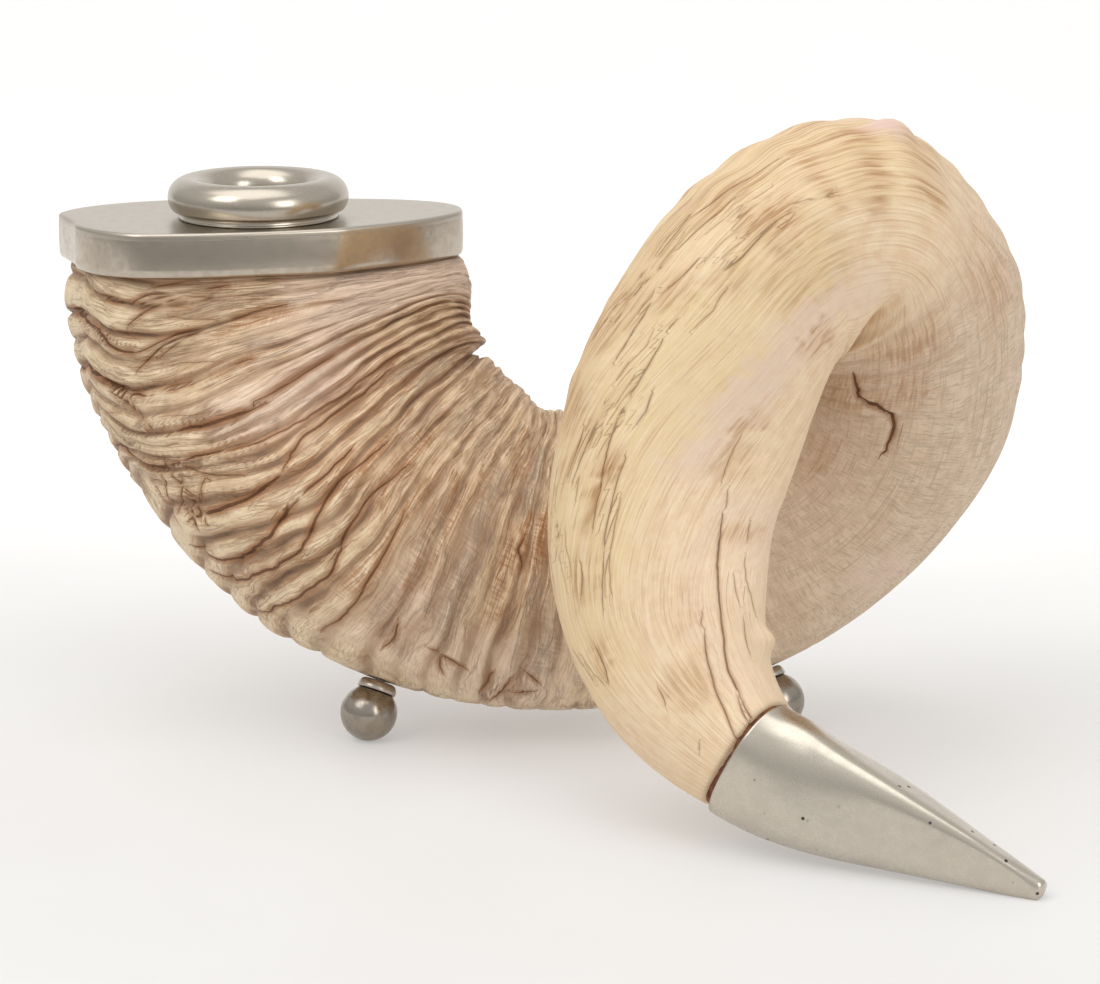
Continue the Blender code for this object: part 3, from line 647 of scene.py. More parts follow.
def build_skin():
    """Points of the horn's outside, and the fields that its material reads."""
    t = rows_along()
    degrees = columns_around()
    phi = np.radians(degrees)
    points = surface(t, phi, *horn_half(t))
    mid = frames_at(t)[0]
    down = np.gradient(points, axis=0)
    around = np.roll(points, -1, 1) - np.roll(points, 1, 1)
    normals = unit(np.cross(around, down))
    facing = ((points - mid[:, None]) * normals).sum(-1, keepdims=True)
    normals = normals * np.where(facing.mean() < 0.0, -1.0, 1.0)

    turns = np.broadcast_to((degrees[None] % 360.0) / 360.0, points.shape[:2])
    T = np.broadcast_to(column(t), points.shape[:2])
    deg = np.broadcast_to(half_turn(degrees), points.shape[:2])
    away = np.abs(deg)

    place = fold_place(T, away, turns)
    groove, groove_strength, spacing, bulge = fold_shape(place, away, turns)
    outside = 1.0 - ramp(away, 45.0, 90.0)
    inside = ramp(away, 120.0, 165.0)
    front = np.clip(1.0 - outside - inside, 0.0, 1.0)
    early = 1.0 - ramp(place, 44.0, 54.0)
    middle = between(place, 44.0, 54.0, 74.0, 92.0)
    late = ramp(place, 74.0, 92.0)
    fading = 1.0 - ramp(T, 150.0, 225.0)
    strong_out = (outside * (1.0 + 0.7 * cloud(T, turns, 14.0, 8, 111))
                  * (0.22 * (1.0 - ramp(place, 96.0, 130.0)) + 0.05))
    strong_front = front * (0.05 * early + 0.2 * middle + 0.08 * late)
    strong_in = inside * (0.06 * early + 0.24 * middle + 0.14 * late)
    lift = (bulge - 0.55) * spacing * (strong_out + strong_front + strong_in) * fading
    carve = groove_strength * hill(groove, 0.7) * fading
    lift -= carve * (1.3 * outside + 0.7 * front + 0.8 * inside)

    pleats = ramp(place, 70.0, 82.0) * (1.0 - ramp(T, 165.0, 225.0)) * ramp(away, 40.0, 56.0)
    wave = np.sin(2.0 * math.pi * (place / 4.7 + 0.5 * cloud(place, turns, 20.0, 7, 61)))
    fine = np.sin(2.0 * math.pi * (place / 1.9 + 0.6 * cloud(place, turns, 9.0, 12, 67)))
    lift += pleats * (0.20 * wave + 0.10 * fine * (0.5 + 0.5 * cloud(place, turns, 8.0, 14, 71)))

    crumple = between(place, 9.0, 15.0, 82.0, 100.0) * window(away, 34.0, 84.0, 10.0)
    veins = np.abs(noise(place / 3.4, turns * 26.0, 81, 26)
                   + 0.35 * noise(place / 1.5, turns * 60.0, 83, 60))
    patchy = ramp(cloud(place, turns, 11.0, 16, 87), -0.25, 0.5)
    vein = (1.0 - ramp(veins, 0.02, 0.16)) * crumple * patchy
    lift -= 0.55 * vein
    lift += crumple * 0.45 * cloud(place, turns, 6.0, 26, 91)

    top = between(T, 322.0, 330.0, 356.0, 372.0) * (1.0 - ramp(away, 55.0, 85.0))
    band = np.sin(2.0 * math.pi * (T + 1.5 * cloud(T, turns, 18.0, 8, 95) - 331.0) / 8.6)
    lift += top * 0.42 * band
    knobbly = between(T, 340.0, 360.0, 402.0, 430.0) * (1.0 - ramp(away, 10.0, 40.0))
    lift += knobbly * 0.9 * cloud(T, turns, 15.0, 10, 97)
    limb = ramp(T, 190.0, 240.0)
    lift += 0.22 * cloud(T, turns, 22.0, 12, 99) + limb * 0.05 * cloud(T, turns, 30.0, 90, 101)
    lift += (1.0 - limb) * 0.16 * cloud(place, turns, 2.6, 22, 103, 2) * ramp(T, 10.0, 20.0)

    turn = between(T, 262.0, 282.0, 322.0, 336.0)
    ripple = np.sin(2.0 * math.pi * (T + 2.5 * cloud(T, turns, 22.0, 7, 105)) / 7.4)
    lift += turn * 0.36 * ripple * ramp(away, 60.0, 95.0)
    lift += turn * 0.22 * ripple * (1.0 - ramp(away, 50.0, 80.0))

    signed, half_wide, dark, crack_depth = crack_fields(t, degrees, points, normals)
    lift -= crack_depth
    chip = hill(T - CHIP_AT, 3.2, deg + 14.0, 5.0)
    lift += 1.1 * chip - 1.4 * hill(T - CHIP_AT, 1.8, deg + 15.0, 3.0)

    lift *= seat_fade(points)
    lift *= between(T, 10.5, 14.0, RIM - 5.0, RIM - 2.3)
    lift = np.clip(lift, -2.6, 2.4)
    shape = swell(T, deg) * ramp(T, 10.0, 20.0) - 1.5 * (1.0 - ramp(T, 10.0, 15.0))
    points = points + normals * (lift + shape)[..., None]

    kinds = tint_fields(T, place, deg, turns)
    fields = {
        "chart": np.stack([30.0 * np.cos(2 * math.pi * turns),
                           30.0 * np.sin(2 * math.pi * turns), place], -1),
        "zones": np.stack([1.0 - ramp(T, 160.0, 215.0), pleats, np.clip(outside, 0, 1)], -1),
        "lines": np.stack([np.clip(groove, -6, 6), groove_strength * fading, vein], -1),
        "crack": np.stack([signed, dark, half_wide], -1),
        "tints": np.stack([kinds["grey"], kinds["stain"], kinds["brown"]], -1),
        "casts": np.stack([kinds["pink"], kinds["yellow"], chip], -1),
        "spot": np.stack([T, away, lift], -1),
    }
    return points, fields


def grid_mesh(name, rings, loops, mat, fields=None, closed=False):
    """Skin rings of points; loops is how many of them carry the fields."""
    rings = np.asarray(rings)
    rows, count = rings.shape[:2]
    verts = (rings.reshape(-1, 3) + SHIFT) * MM
    i = np.arange(rows - 1 + closed)[:, None]
    j = np.arange(count)[None]
    a = i * count + j
    b = i * count + (j + 1) % count
    c = ((i + 1) % rows) * count + (j + 1) % count
    d = ((i + 1) % rows) * count + j
    faces = np.stack([a, b, c, d], -1).reshape(-1, 4).tolist()
    verts = verts.tolist()
    if not closed:
        for row in (0, rows - 1):
            first = row * count
            centre = np.mean(verts[first:first + count], axis=0).tolist()
            verts.append(centre)
            faces += [(first + k, first + (k + 1) % count, len(verts) - 1) for k in range(count)]
    data = bpy.data.meshes.new(name)
    data.from_pydata(verts, [], faces)
    mesh = bmesh.new()
    mesh.from_mesh(data)
    bmesh.ops.recalc_face_normals(mesh, faces=mesh.faces)
    mesh.to_mesh(data)
    mesh.free()
    for face in data.polygons:
        face.use_smooth = True
    for key, values in (fields or {}).items():
        layer = data.attributes.new(key, "FLOAT_VECTOR", "POINT")
        full = np.zeros((len(data.vertices), 3), np.float32)
        flat = values.reshape(-1, 3)
        full[loops * count:loops * count + len(flat)] = flat
        layer.data.foreach_set("vector", full.ravel())
    data.materials.append(mat)
    obj = bpy.data.objects.new(name, data)
    bpy.context.scene.collection.objects.link(obj)
    return obj


# ------------------------------------------------------------------------------ materials
def tone(r, g, b):
    """A display colour from 0 to 255 as linear light."""
    c = np.array([r, g, b]) / 255.0
    c = np.where(c <= 0.04045, c / 12.92, ((c + 0.055) / 1.055) ** 2.4)
    return (*c.tolist(), 1.0)


class Nodes:
    """A node tree and short ways to add nodes to it."""

    def __init__(self, tree):
        self.tree = tree

    def put(self, socket, value):
        if isinstance(value, bpy.types.NodeSocket):
            self.tree.links.new(value, socket)
        elif value is not None:
            socket.default_value = value

    def node(self, kind, inputs=(), **settings):
        made = self.tree.nodes.new(kind)
        for key, value in settings.items():
            setattr(made, key, value)
        for key, value in dict(inputs).items():
            self.put(made.inputs[key], value)
        return made

    def math(self, operation, a, b=None, clamp=False):
        return self.node("ShaderNodeMath", {0: a, 1: b}, operation=operation,
                         use_clamp=clamp).outputs[0]

    def add(self, *values):
        total = values[0]
        for value in values[1:]:
            total = self.math("ADD", total, value)
        return total

    def mul(self, *values):
        total = values[0]
        for value in values[1:]:
            total = self.math("MULTIPLY", total, value)
        return total

    def invert(self, value):
        return self.math("SUBTRACT", 1.0, value, True)

    def ramp(self, value, low, high, start=0.0, end=1.0):
        return self.node("ShaderNodeMapRange", {"Value": value, "From Min": low, "From Max": high,
                                                "To Min": start, "To Max": end},
                         interpolation_type="SMOOTHSTEP").outputs["Result"]

    def mix(self, factor, a, b):
        return self.node("ShaderNodeMix", {"Factor": factor, 6: a, 7: b}, data_type="RGBA",
                         clamp_factor=True).outputs[2]

    def mix_value(self, factor, a, b):
        return self.node("ShaderNodeMix", {"Factor": factor, 2: a, 3: b},
                         data_type="FLOAT").outputs[0]

    def over(self, base, rgb, *amounts):
        """Lay a display colour over base, as strongly as the amounts multiplied."""
        return self.mix(self.mul(*amounts), base, tone(*rgb))

    def split(self, vector):
        return self.node("ShaderNodeSeparateXYZ", {0: vector}).outputs

    def fields(self, name):
        source = self.node("ShaderNodeAttribute", attribute_name=name).outputs["Vector"]
        parts = self.split(source)
        return source, parts[0], parts[1], parts[2]

    def stretch(self, vector, x, y, z):
        return self.node("ShaderNodeVectorMath", {0: vector, 1: (x, y, z)},
                         operation="MULTIPLY").outputs[0]

    def noise(self, vector, scale, detail=2.0, rough=0.5, distortion=0.0):
        """Noise of the vector multiplied by scale: one number, or one for each axis."""
        x, y, z = scale if isinstance(scale, tuple) else (scale, scale, scale)
        return self.node("ShaderNodeTexNoise",
                         {"Vector": self.stretch(vector, x, y, z), "Scale": 1.0,
                                                "Detail": detail, "Roughness": rough,
                                                "Distortion": distortion}).outputs["Fac"]

    def here(self):
        """Place on the object in millimetres."""
        place = self.node("ShaderNodeTexCoord").outputs["Object"]
        return self.stretch(place, 1000.0, 1000.0, 1000.0)


class Material(Nodes):
    """A principled material, built up with the ways above."""

    def __init__(self, name, roughness, metallic=0.0, specular=0.5):
        self.mat = bpy.data.materials.new(name)
        self.mat.use_nodes = True
        super().__init__(self.mat.node_tree)
        self.shader = self.tree.nodes["Principled BSDF"]
        for key, value in (("Roughness", roughness), ("Metallic", metallic),
                           ("Specular IOR Level", specular)):
            self.shader.inputs[key].default_value = value

    def bump(self, height, depth):
        """height is from 0 to 1 and depth in mm."""
        made = self.node("ShaderNodeBump", {"Height": height, "Strength": 1.0,
                                            "Distance": depth * MM})
        self.put(self.shader.inputs["Normal"], made.outputs[0])

    def colour(self, value):
        self.put(self.shader.inputs["Base Color"], value)

    def roughness(self, value):
        self.put(self.shader.inputs["Roughness"], value)


def horn_material():
    w = Material("horn_skin", 0.55, 0.0, 0.35)
    chart, _, _, _ = w.fields("chart")
    _, folded, _, outside = w.fields("zones")
    _, groove, groove_strength, vein = w.fields("lines")
    _, crack, crack_dark, crack_half = w.fields("crack")
    _, grey, stain, brown = w.fields("tints")
    _, pink, yellow, chip = w.fields("casts")
    _, along, _, lift = w.fields("spot")

    across = w.noise(chart, (0.10, 0.10, 1.5), 3.0, 0.6)
    lengthwise = w.noise(chart, (1.7, 1.7, 0.06), 3.0, 0.6)
    strokes = w.noise(chart, (2.1, 2.1, 0.33), 2.0, 0.6)
    hatch = w.noise(chart, (0.35, 0.35, 2.6), 2.0, 0.6)
    blotch = w.noise(chart, 0.07, 3.0, 0.55)
    mottle = w.noise(chart, 0.28, 4.0, 0.6)
    grain = w.noise(chart, 2.6, 3.0, 0.65)

    # the plain limb and the tight turn
    limb = w.mix(w.ramp(mottle, 0.35, 0.7), tone(236, 212, 178), tone(229, 199, 163))
    limb = w.over(limb, (231, 206, 158), yellow, w.ramp(blotch, 0.3, 0.6, 0.45, 1.0))
    limb = w.over(limb, (212, 179, 143), 0.85, w.ramp(lengthwise, 0.5, 0.72))
    limb = w.over(limb, (244, 224, 196), 0.5, w.ramp(lengthwise, 0.48, 0.34))
    turn = w.mul(w.ramp(along, 175.0, 200.0), w.ramp(along, 334.0, 300.0))
    shaded = w.mix(w.ramp(mottle, 0.3, 0.7), tone(222, 200, 176), tone(209, 184, 158))
    shaded = w.over(shaded, (180, 152, 125), 0.7, w.ramp(lengthwise, 0.5, 0.74))
    shaded = w.over(shaded, (180, 161, 139), 0.7, w.ramp(hatch, 0.48, 0.66))
    limb = w.mix(turn, limb, shaded)

    # the folded wide end
    cream = w.mix(w.ramp(mottle, 0.35, 0.7), tone(232, 210, 175), tone(218, 192, 156))
    cream = w.over(cream, (225, 205, 176), 0.35, w.ramp(strokes, 0.5, 0.7))
    tan = w.mix(w.ramp(mottle, 0.35, 0.7), tone(234, 207, 172), tone(213, 180, 143))
    tan = w.over(tan, (150, 112, 82), 0.6, w.ramp(across, 0.48, 0.68))
    tan = w.over(tan, (216, 191, 160), 0.5, w.ramp(strokes, 0.5, 0.7))
    folds = w.mix(outside, tan, cream)
    fine = w.noise(chart, (0.28, 0.28, 3.4), 3.0, 0.6)
    folds = w.over(folds, (172, 131, 94), 0.5, w.ramp(fine, 0.51, 0.68))
    folds = w.over(folds, (243, 223, 194), 0.7, w.ramp(fine, 0.49, 0.34))
    coat = w.mix(folded, limb, folds)

    # fine crumpled creases that follow the folds
    crease_at = w.noise(chart, (0.055, 0.055, 0.36), 4.0, 0.62)
    crease = w.ramp(w.math("ABSOLUTE", w.add(crease_at, -0.5)), 0.030, 0.004)
    tight_at = w.noise(chart, (0.10, 0.10, 0.85), 4.0, 0.65)
    tight = w.ramp(w.math("ABSOLUTE", w.add(tight_at, -0.5)), 0.034, 0.006)
    crumpled = w.mul(folded, w.ramp(blotch, 0.36, 0.56, 0.25, 1.0))
    coat = w.over(coat, (146, 98, 62), 0.46, crease, crumpled)
    coat = w.over(coat, (160, 112, 74), 0.3, tight, crumpled, w.ramp(outside, 0.9, 0.1, 0.3, 1.0))

    # casts and patches
    coat = w.over(coat, (227, 202, 187), 0.6, pink, w.ramp(blotch, 0.25, 0.6, 0.5, 1.0))
    ragged = w.ramp(w.add(w.mul(0.5, strokes), w.mul(0.5, hatch)), 0.38, 0.58)
    coat = w.over(coat, (168, 146, 127), 0.85, grey, w.add(0.35, w.mul(0.65, ragged)))
    coat = w.over(coat, (166, 110, 64), 0.9, stain,
                  w.ramp(w.add(w.mul(0.6, across), w.mul(0.4, strokes)), 0.42, 0.6))
    dashes = w.ramp(w.noise(chart, (0.95, 0.95, 0.09), 2.0, 0.6), 0.44, 0.62)
    coat = w.over(coat, (160, 108, 62), 0.95, brown, dashes)
    coat = w.over(coat, (194, 150, 104), 0.42, brown)

    # grooves between the folds
    gap = w.math("ABSOLUTE", groove)
    halo = w.mul(w.ramp(gap, 2.6, 0.3), w.ramp(groove_strength, 0.1, 1.0),
                 w.ramp(across, 0.3, 0.6, 0.45, 1.0))
    coat = w.over(coat, (150, 99, 60), 0.8, halo)
    core = w.mul(w.ramp(gap, 0.9, 0.25), w.ramp(groove_strength, 0.25, 0.95),
                 w.ramp(w.noise(chart, 0.16, 2.0), 0.36, 0.56))
    coat = w.over(coat, (88, 53, 33), 0.8, core)
    coat = w.over(coat, (112, 74, 50), 0.7, vein)
    # painted highlight: the skin is made lighter where the folds are raised
    coat = w.over(coat, (232, 211, 178), w.ramp(lift, 0.1, 1.3, 0.0, 0.55))
    # painted shade: the skin is made darker in the sunken hollows of the folds and the tight turn
    hollow = w.mul(w.ramp(lift, -0.05, -0.6), w.add(w.mul(0.5, folded), w.mul(0.4, turn)))
    coat = w.over(coat, (172, 141, 112), hollow)

    # cracks
    wide = w.math("ABSOLUTE", crack)
    edge = w.mul(w.ramp(w.add(wide, w.mul(-1.6, crack_half)), w.add(0.7, w.mul(0.9, folded)), 0.0),
                 crack_dark)
    coat = w.over(coat, (164, 112, 70), w.add(0.5, w.mul(0.2, folded)), edge)
    rough_edge = w.add(wide, w.mul(-0.9, crack_half), w.mul(0.22, w.add(grain, -0.5)))
    split = w.mul(w.ramp(rough_edge, 0.10, 0.0), crack_dark)
    coat = w.over(coat, (104, 66, 38), 0.92, split)
    coat = w.over(coat, (226, 196, 188), 0.8, chip)

    # under the cap and into the ferrule
    coat = w.over(coat, (150, 106, 70), 0.55, w.ramp(w.add(along, w.mul(3.0, mottle)), 15.5, 12.5))
    w.colour(coat)
    w.roughness(w.add(0.42, w.mul(0.22, mottle), w.mul(0.12, w.invert(folded))))
    height = w.add(w.mul(w.mix_value(folded, lengthwise, across), 0.45), w.mul(0.2, grain),
                   w.mul(0.25, strokes), w.mul(-0.2, folded, fine),
                   w.mul(-0.4, split), w.mul(-0.4, crumpled, crease),
                   w.mul(-0.15, crumpled, tight))
    w.bump(height, 0.42)
    return w.mat


def nickel(name, colour, dull, roughness, spread=0.1, cloudy=0.35, warm=(0.50, 0.44, 0.37),
           dents=0.02,
           dent_size=9.0, pits=0.0):
    """Worn nickel plate: cloudy tarnish, uneven polish, faint dents, and pits."""
    w = Material(name, roughness, 1.0)
    here = w.here()
    broad = w.noise(here, (0.045, 0.045, 0.06), 3.0, 0.6)
    small = w.noise(here, 0.35, 4.0, 0.65)
    rubbed = w.noise(here, (0.25, 2.4, 2.4), 2.0, 0.6)
    base = w.mix(w.mul(cloudy, w.ramp(small, 0.4, 0.7)), (*colour, 1.0), (*dull, 1.0))
    base = w.mix(w.mul(cloudy, w.ramp(broad, 0.45, 0.68)), base, (*warm, 1.0))
    shine = w.add(roughness, w.mul(spread, w.ramp(small, 0.3, 0.7, -0.5, 1.0)),
                  w.mul(0.05, rubbed))
    dent = w.noise(here, 1.0 / dent_size, 1.0)
    height = w.add(dent, w.mul(0.004, rubbed))
    if pits > 0.0:
        spots = w.node("ShaderNodeTexVoronoi",
                       {"Vector": w.stretch(here, 0.21, 0.21, 0.21), "Scale": 1.0,
                                                "Randomness": 1.0}).outputs["Distance"]
        hole = w.mul(pits, w.ramp(spots, 0.13, 0.07), w.ramp(broad, 0.44, 0.52))
        base = w.mix(hole, base, (0.08, 0.07, 0.06, 1.0))
        shine = w.add(shine, w.mul(0.4, hole))
    w.colour(base)
    w.roughness(shine)
    w.bump(height, dents)
    return w.mat


def plain(name, light, dark, roughness, size, depth=0.1):
    """A dull material with two colours in patches of the given size in mm."""
    w = Material(name, roughness, 0.0, 0.3)
    here = w.here()
    patches = w.noise(here, 1.0 / size, 5.0, 0.65)
    w.colour(w.mix(w.ramp(patches, 0.35, 0.65), (*light, 1.0), (*dark, 1.0)))
    w.roughness(w.add(roughness - 0.1, w.mul(0.2, patches)))
    w.bump(patches, depth)
    return w.mat


def wood(name):
    w = Material(name, 0.7, 0.0, 0.3)
    here = w.here()
    bands = w.noise(here, (0.02, 0.5, 0.5), 4.0, 0.6, 1.2)
    w.colour(w.mix(w.ramp(bands, 0.35, 0.65), (0.46, 0.30, 0.16, 1.0), (0.30, 0.18, 0.09, 1.0)))
    w.roughness(w.add(0.6, w.mul(0.2, bands)))
    w.bump(bands, 0.2)
    return w.mat


HORN_SKIN = horn_material()
SATIN = nickel("nickel_satin_worn", (0.50, 0.45, 0.38), (0.45, 0.40, 0.33), 0.27, 0.03, 0.3,
               pits=0.0)
BAND = nickel("nickel_band_worn", (0.54, 0.48, 0.40), (0.40, 0.34, 0.28), 0.19, 0.05, 0.5,
              (0.42, 0.35, 0.28), dents=0.25, dent_size=14.0)
POLISHED = nickel("nickel_polished_worn", (0.50, 0.45, 0.38), (0.40, 0.35, 0.28), 0.24, 0.0, 0.08,
                  (0.44, 0.39, 0.32))
FERRULE_METAL = nickel("nickel_ferrule_worn", (0.60, 0.55, 0.47), (0.48, 0.43, 0.36), 0.25, 0.03,
                       0.28, pits=1.0, dents=0.06)
PAD = nickel("nickel_saucer_worn", (0.52, 0.47, 0.41), (0.34, 0.29, 0.24), 0.26, cloudy=0.6)
DARK = nickel("nickel_tarnished", (0.36, 0.32, 0.27), (0.24, 0.21, 0.18), 0.20, 0.12, 0.6,
              (0.36, 0.29, 0.22))
STEEL = nickel("stud_steel_plain", (0.5, 0.5, 0.5), (0.4, 0.4, 0.4), 0.35)
BEDDING = plain("bedding_rusty", (0.26, 0.10, 0.045), (0.10, 0.04, 0.02), 0.8, 2.2, 0.25)
PLUG = wood("plug_wood_grain")


# ---------------------------------------------------------------------------------- pieces
def build_horn():
    outer, fields = build_skin()
    t = np.linspace(0.0, CAVITY_LENGTH, 40)
    out_half, side_half, corner = horn_half(t)
    body = wall(t)
    phi = np.radians(columns_around())
    inner = surface(t, phi, out_half - body, side_half - body, corner)
    rings = np.concatenate([inner[::-1], outer])
    place(grid_mesh("horn_skin", rings, len(inner), HORN_SKIN, fields), "horn", "horn_keratin")


def lathe(name, profile, centre, up, mat, node, slot, steps=96, closed=False):
    """Turn an outline of (radius, height) in mm about a direction through centre."""
    up = np.asarray(up, float) / np.linalg.norm(up)
    side = np.cross(up, (0.0, 1.0, 0.0) if abs(up[1]) < 0.9 else (1.0, 0.0, 0.0))
    side = side / np.linalg.norm(side)
    other = np.cross(up, side)
    angle = np.linspace(0.0, 2.0 * math.pi, steps, endpoint=False)
    spoke = np.cos(angle)[:, None] * side + np.sin(angle)[:, None] * other
    rings = [np.asarray(centre, float) - SHIFT + max(r, 0.01) * spoke + h * up for r, h in profile]
    place(grid_mesh(name, rings, 0, mat, closed=closed), node, slot)


def place(obj, node, slot):
    """Fix a piece to the one body, in place of its CAD node."""
    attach(obj, "root")
    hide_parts(node)


def arc(centre, radius, first, last, count):
    """Points of (radius, height) on a round corner; angles in degrees."""
    a = np.radians(np.linspace(first, last, count))
    return [(centre[0] + radius * math.cos(x), centre[1] + radius * math.sin(x)) for x in a]


# hammered flats round the cap: from and to in degrees, how flat
FLATS = ((-114, -57, 0.42), (-57, -16, 0.34), (-176, -114, 0.22), (20, 66, 0.3), (66, 122, 0.35))


def cap_rim(count=360):
    """The cap's outline with its slightly flattened sides, and its outward direction."""
    phi = np.linspace(-math.pi, math.pi, count, endpoint=False)
    r = blunt_corners(phi, CAP_CORNER)
    flat = np.stack([CAP_HALF_WIDTH * r * np.cos(phi), CAP_HALF_DEPTH * r * np.sin(phi)], 1)
    degrees = np.degrees(phi)
    for first, last, amount in FLATS:
        i, j = np.searchsorted(degrees, (first, last))
        chord = flat[i] + (flat[j] - flat[i]) * np.linspace(0.0, 1.0, j - i + 1)[:, None]
        sag = np.linalg.norm(flat[i:j + 1] - chord, axis=1).max()
        middle = flat[i:j + 1].mean(0)
        moved = flat[i:j + 1] + (chord - flat[i:j + 1]) * amount
        flat[i:j + 1] = moved + middle / np.linalg.norm(middle) * sag * amount * 0.5
    for _ in range(12):
        flat = 0.25 * np.roll(flat, 1, 0) + 0.5 * flat + 0.25 * np.roll(flat, -1, 0)
    c, s = math.cos(MOUTH_TURN), math.sin(MOUTH_TURN)
    x = HORN[0][0] - c * flat[:, 0] - s * flat[:, 1]
    y = HORN[0][1] - s * flat[:, 0] + c * flat[:, 1]
    rim = np.stack([x, y], 1)
    step = np.roll(rim, -1, 0) - np.roll(rim, 1, 0)
    outward = np.stack([step[:, 1], -step[:, 0]], 1)
    outward = outward / np.linalg.norm(outward, axis=1, keepdims=True)
    if ((rim - rim.mean(0)) * outward).sum() < 0.0:
        outward = -outward
    return rim, outward, phi


def build_cap():
    rim, outward, phi = cap_rim()
    start = np.arctan2(rim[:, 1] - RING_CENTRE[1], rim[:, 0] - RING_CENTRE[0])
    hole = np.stack([RING_CENTRE[0] + PLATE_HOLE * np.cos(start),
                     RING_CENTRE[1] + PLATE_HOLE * np.sin(start)], 1)
    seam = PLATE_TOP - PLATE_THICK
    wave = 0.10 * np.sin(5.0 * phi + 0.7) + 0.07 * np.sin(11.0 * phi)

    def ring_at(inset, z, uneven=0.0):
        xy = rim - outward * inset
        return np.column_stack([xy, np.full(len(xy), z) + uneven * wave])

    top, edge = PLATE_TOP, 1.0
    rings = [np.column_stack([hole, np.full(len(hole), z)]) for z in (seam, top - 0.3)]
    inner = np.column_stack([hole, np.full(len(hole), top)])
    outer = ring_at(2.2, top)
    for share in (0.0, 0.03, 0.2, 0.4, 0.6, 0.8, 0.93):
        dish = np.array([0.0, 0.0, -0.12 * math.sin(math.pi * share)])
        rings.append(inner + (outer - inner) * share + dish)
    for a in np.linspace(90.0, 0.0, 8):
        rings.append(ring_at(edge - edge * math.cos(math.radians(a)),
                             top - edge + edge * math.sin(math.radians(a))))
    rings += [ring_at(0.0, seam - 0.38), ring_at(0.0, seam - 0.4), ring_at(0.02, seam - 0.4),
              ring_at(0.45, seam - 0.4), ring_at(0.5, seam), ring_at(8.0, seam)]
    place(grid_mesh("cap_top", rings, 0, SATIN, closed=True), "cap_plate", "nickel_satin")

    low = BAND_BOTTOM
    rings = [ring_at(BAND_WALL, seam - 0.05), ring_at(0.6, seam - 0.05),
             ring_at(0.56, seam - 0.41),
             ring_at(0.02, seam - 0.405), ring_at(0.0, seam - 0.405), ring_at(0.0, seam - 0.43)]
    for share in np.linspace(0.08, 0.86, 9):
        belly = 0.16 * math.sin(math.pi * share)
        rings.append(ring_at(-belly, seam + (low - seam) * share, 0.6 * share))
    rings += [ring_at(0.08, low + 1.0, 1.0), ring_at(0.35, low + 0.45, 1.0),
              ring_at(0.7, low + 0.12, 1.0),
              ring_at(1.0, low, 1.0), ring_at(BAND_WALL, low + 0.15, 1.0),
              ring_at(BAND_WALL, low + 5.0)]
    place(grid_mesh("cap_skirt", rings, 0, BAND, closed=True), "cap_band", "nickel_satin")


def build_candle_holder():
    foot = PLATE_TOP + GAP
    middle = foot + RING_TUBE
    centre = (*RING_CENTRE, 0.0) + SHIFT
    profile = [(14.9, foot - 0.25), (22.5, foot - 0.25), (22.7, foot - 0.1), (22.5, foot + 0.25),
               (22.2, foot + 0.7), (22.25, foot + 1.2), (22.6, foot + 1.8)]
    profile += arc((RING_MIDDLE, middle), RING_TUBE + 0.15, -38.0, 90.0, 26)
    profile += arc((RING_MIDDLE - 0.5, middle + 0.1), RING_TUBE, 94.0, 178.0, 14)
    profile += [(14.45, middle - 1.6), (14.5, foot + 1.2), (14.7, foot + 0.2)]
    lathe("candle_ring_smooth", profile, centre, (0, 0, 1), POLISHED, "candle_ring",
          "nickel_polished",
          144, True)
    inner = SOCKET_OUTER - SOCKET_WALL
    flange = foot + SOCKET_FLANGE_THICK
    profile = [(0.0, SOCKET_FLOOR), (inner - 1.0, SOCKET_FLOOR), (inner, SOCKET_FLOOR + 1.0),
               (inner, SOCKET_RIM - 1.0)]
    profile += arc((inner + 0.9, SOCKET_RIM - 0.9), 0.9, 180.0, 90.0, 6)
    profile += arc((13.3, SOCKET_RIM - 0.8), 0.8, 90.0, -40.0, 7)
    profile += [(SOCKET_OUTER, SOCKET_RIM - 2.2), (SOCKET_OUTER, flange - 0.5),
                (SOCKET_OUTER, foot), (SOCKET_OUTER, SOCKET_FLOOR - SOCKET_WALL + 0.6),
                (SOCKET_OUTER - 0.6, SOCKET_FLOOR - SOCKET_WALL),
                (0.0, SOCKET_FLOOR - SOCKET_WALL)]
    lathe("candle_cup", profile, centre, (0, 0, 1), SATIN, "candle_socket", "nickel_satin", 96)


FERRULE_ROUND = 0.075          # corner strength of the finer ferrule


def ferrule_ridge(rings, t):
    """The ferrule's raised ridge with a broad flattened face beside it."""
    middle = rings.mean(1, keepdims=True)
    count = rings.shape[1]
    deg = half_turn((np.arange(count) + 0.5) / count * 360.0)
    ridge = np.interp(t, (RIM, 523.0, 546.0, 565.0), (-149.0, -137.0, -125.0, -119.0))[:, None]
    share = ((t - RIM) / (LENGTH - RIM))[:, None]
    around = lambda at, wide: hill(half_turn(deg[None] - at), wide)
    rise = 1.9 * between(share, 0.0, 0.22, 0.75, 1.0) * around(ridge, 20.0)
    rise = rise + 1.5 * between(share, 0.0, 0.14, 0.35, 0.8) * around(178.0, 30.0)
    hollow = 0.8 * between(share, 0.02, 0.2, 0.7, 1.0) * around(ridge + 48.0, 30.0)
    return unit(rings - middle) * (rise - hollow)[..., None]


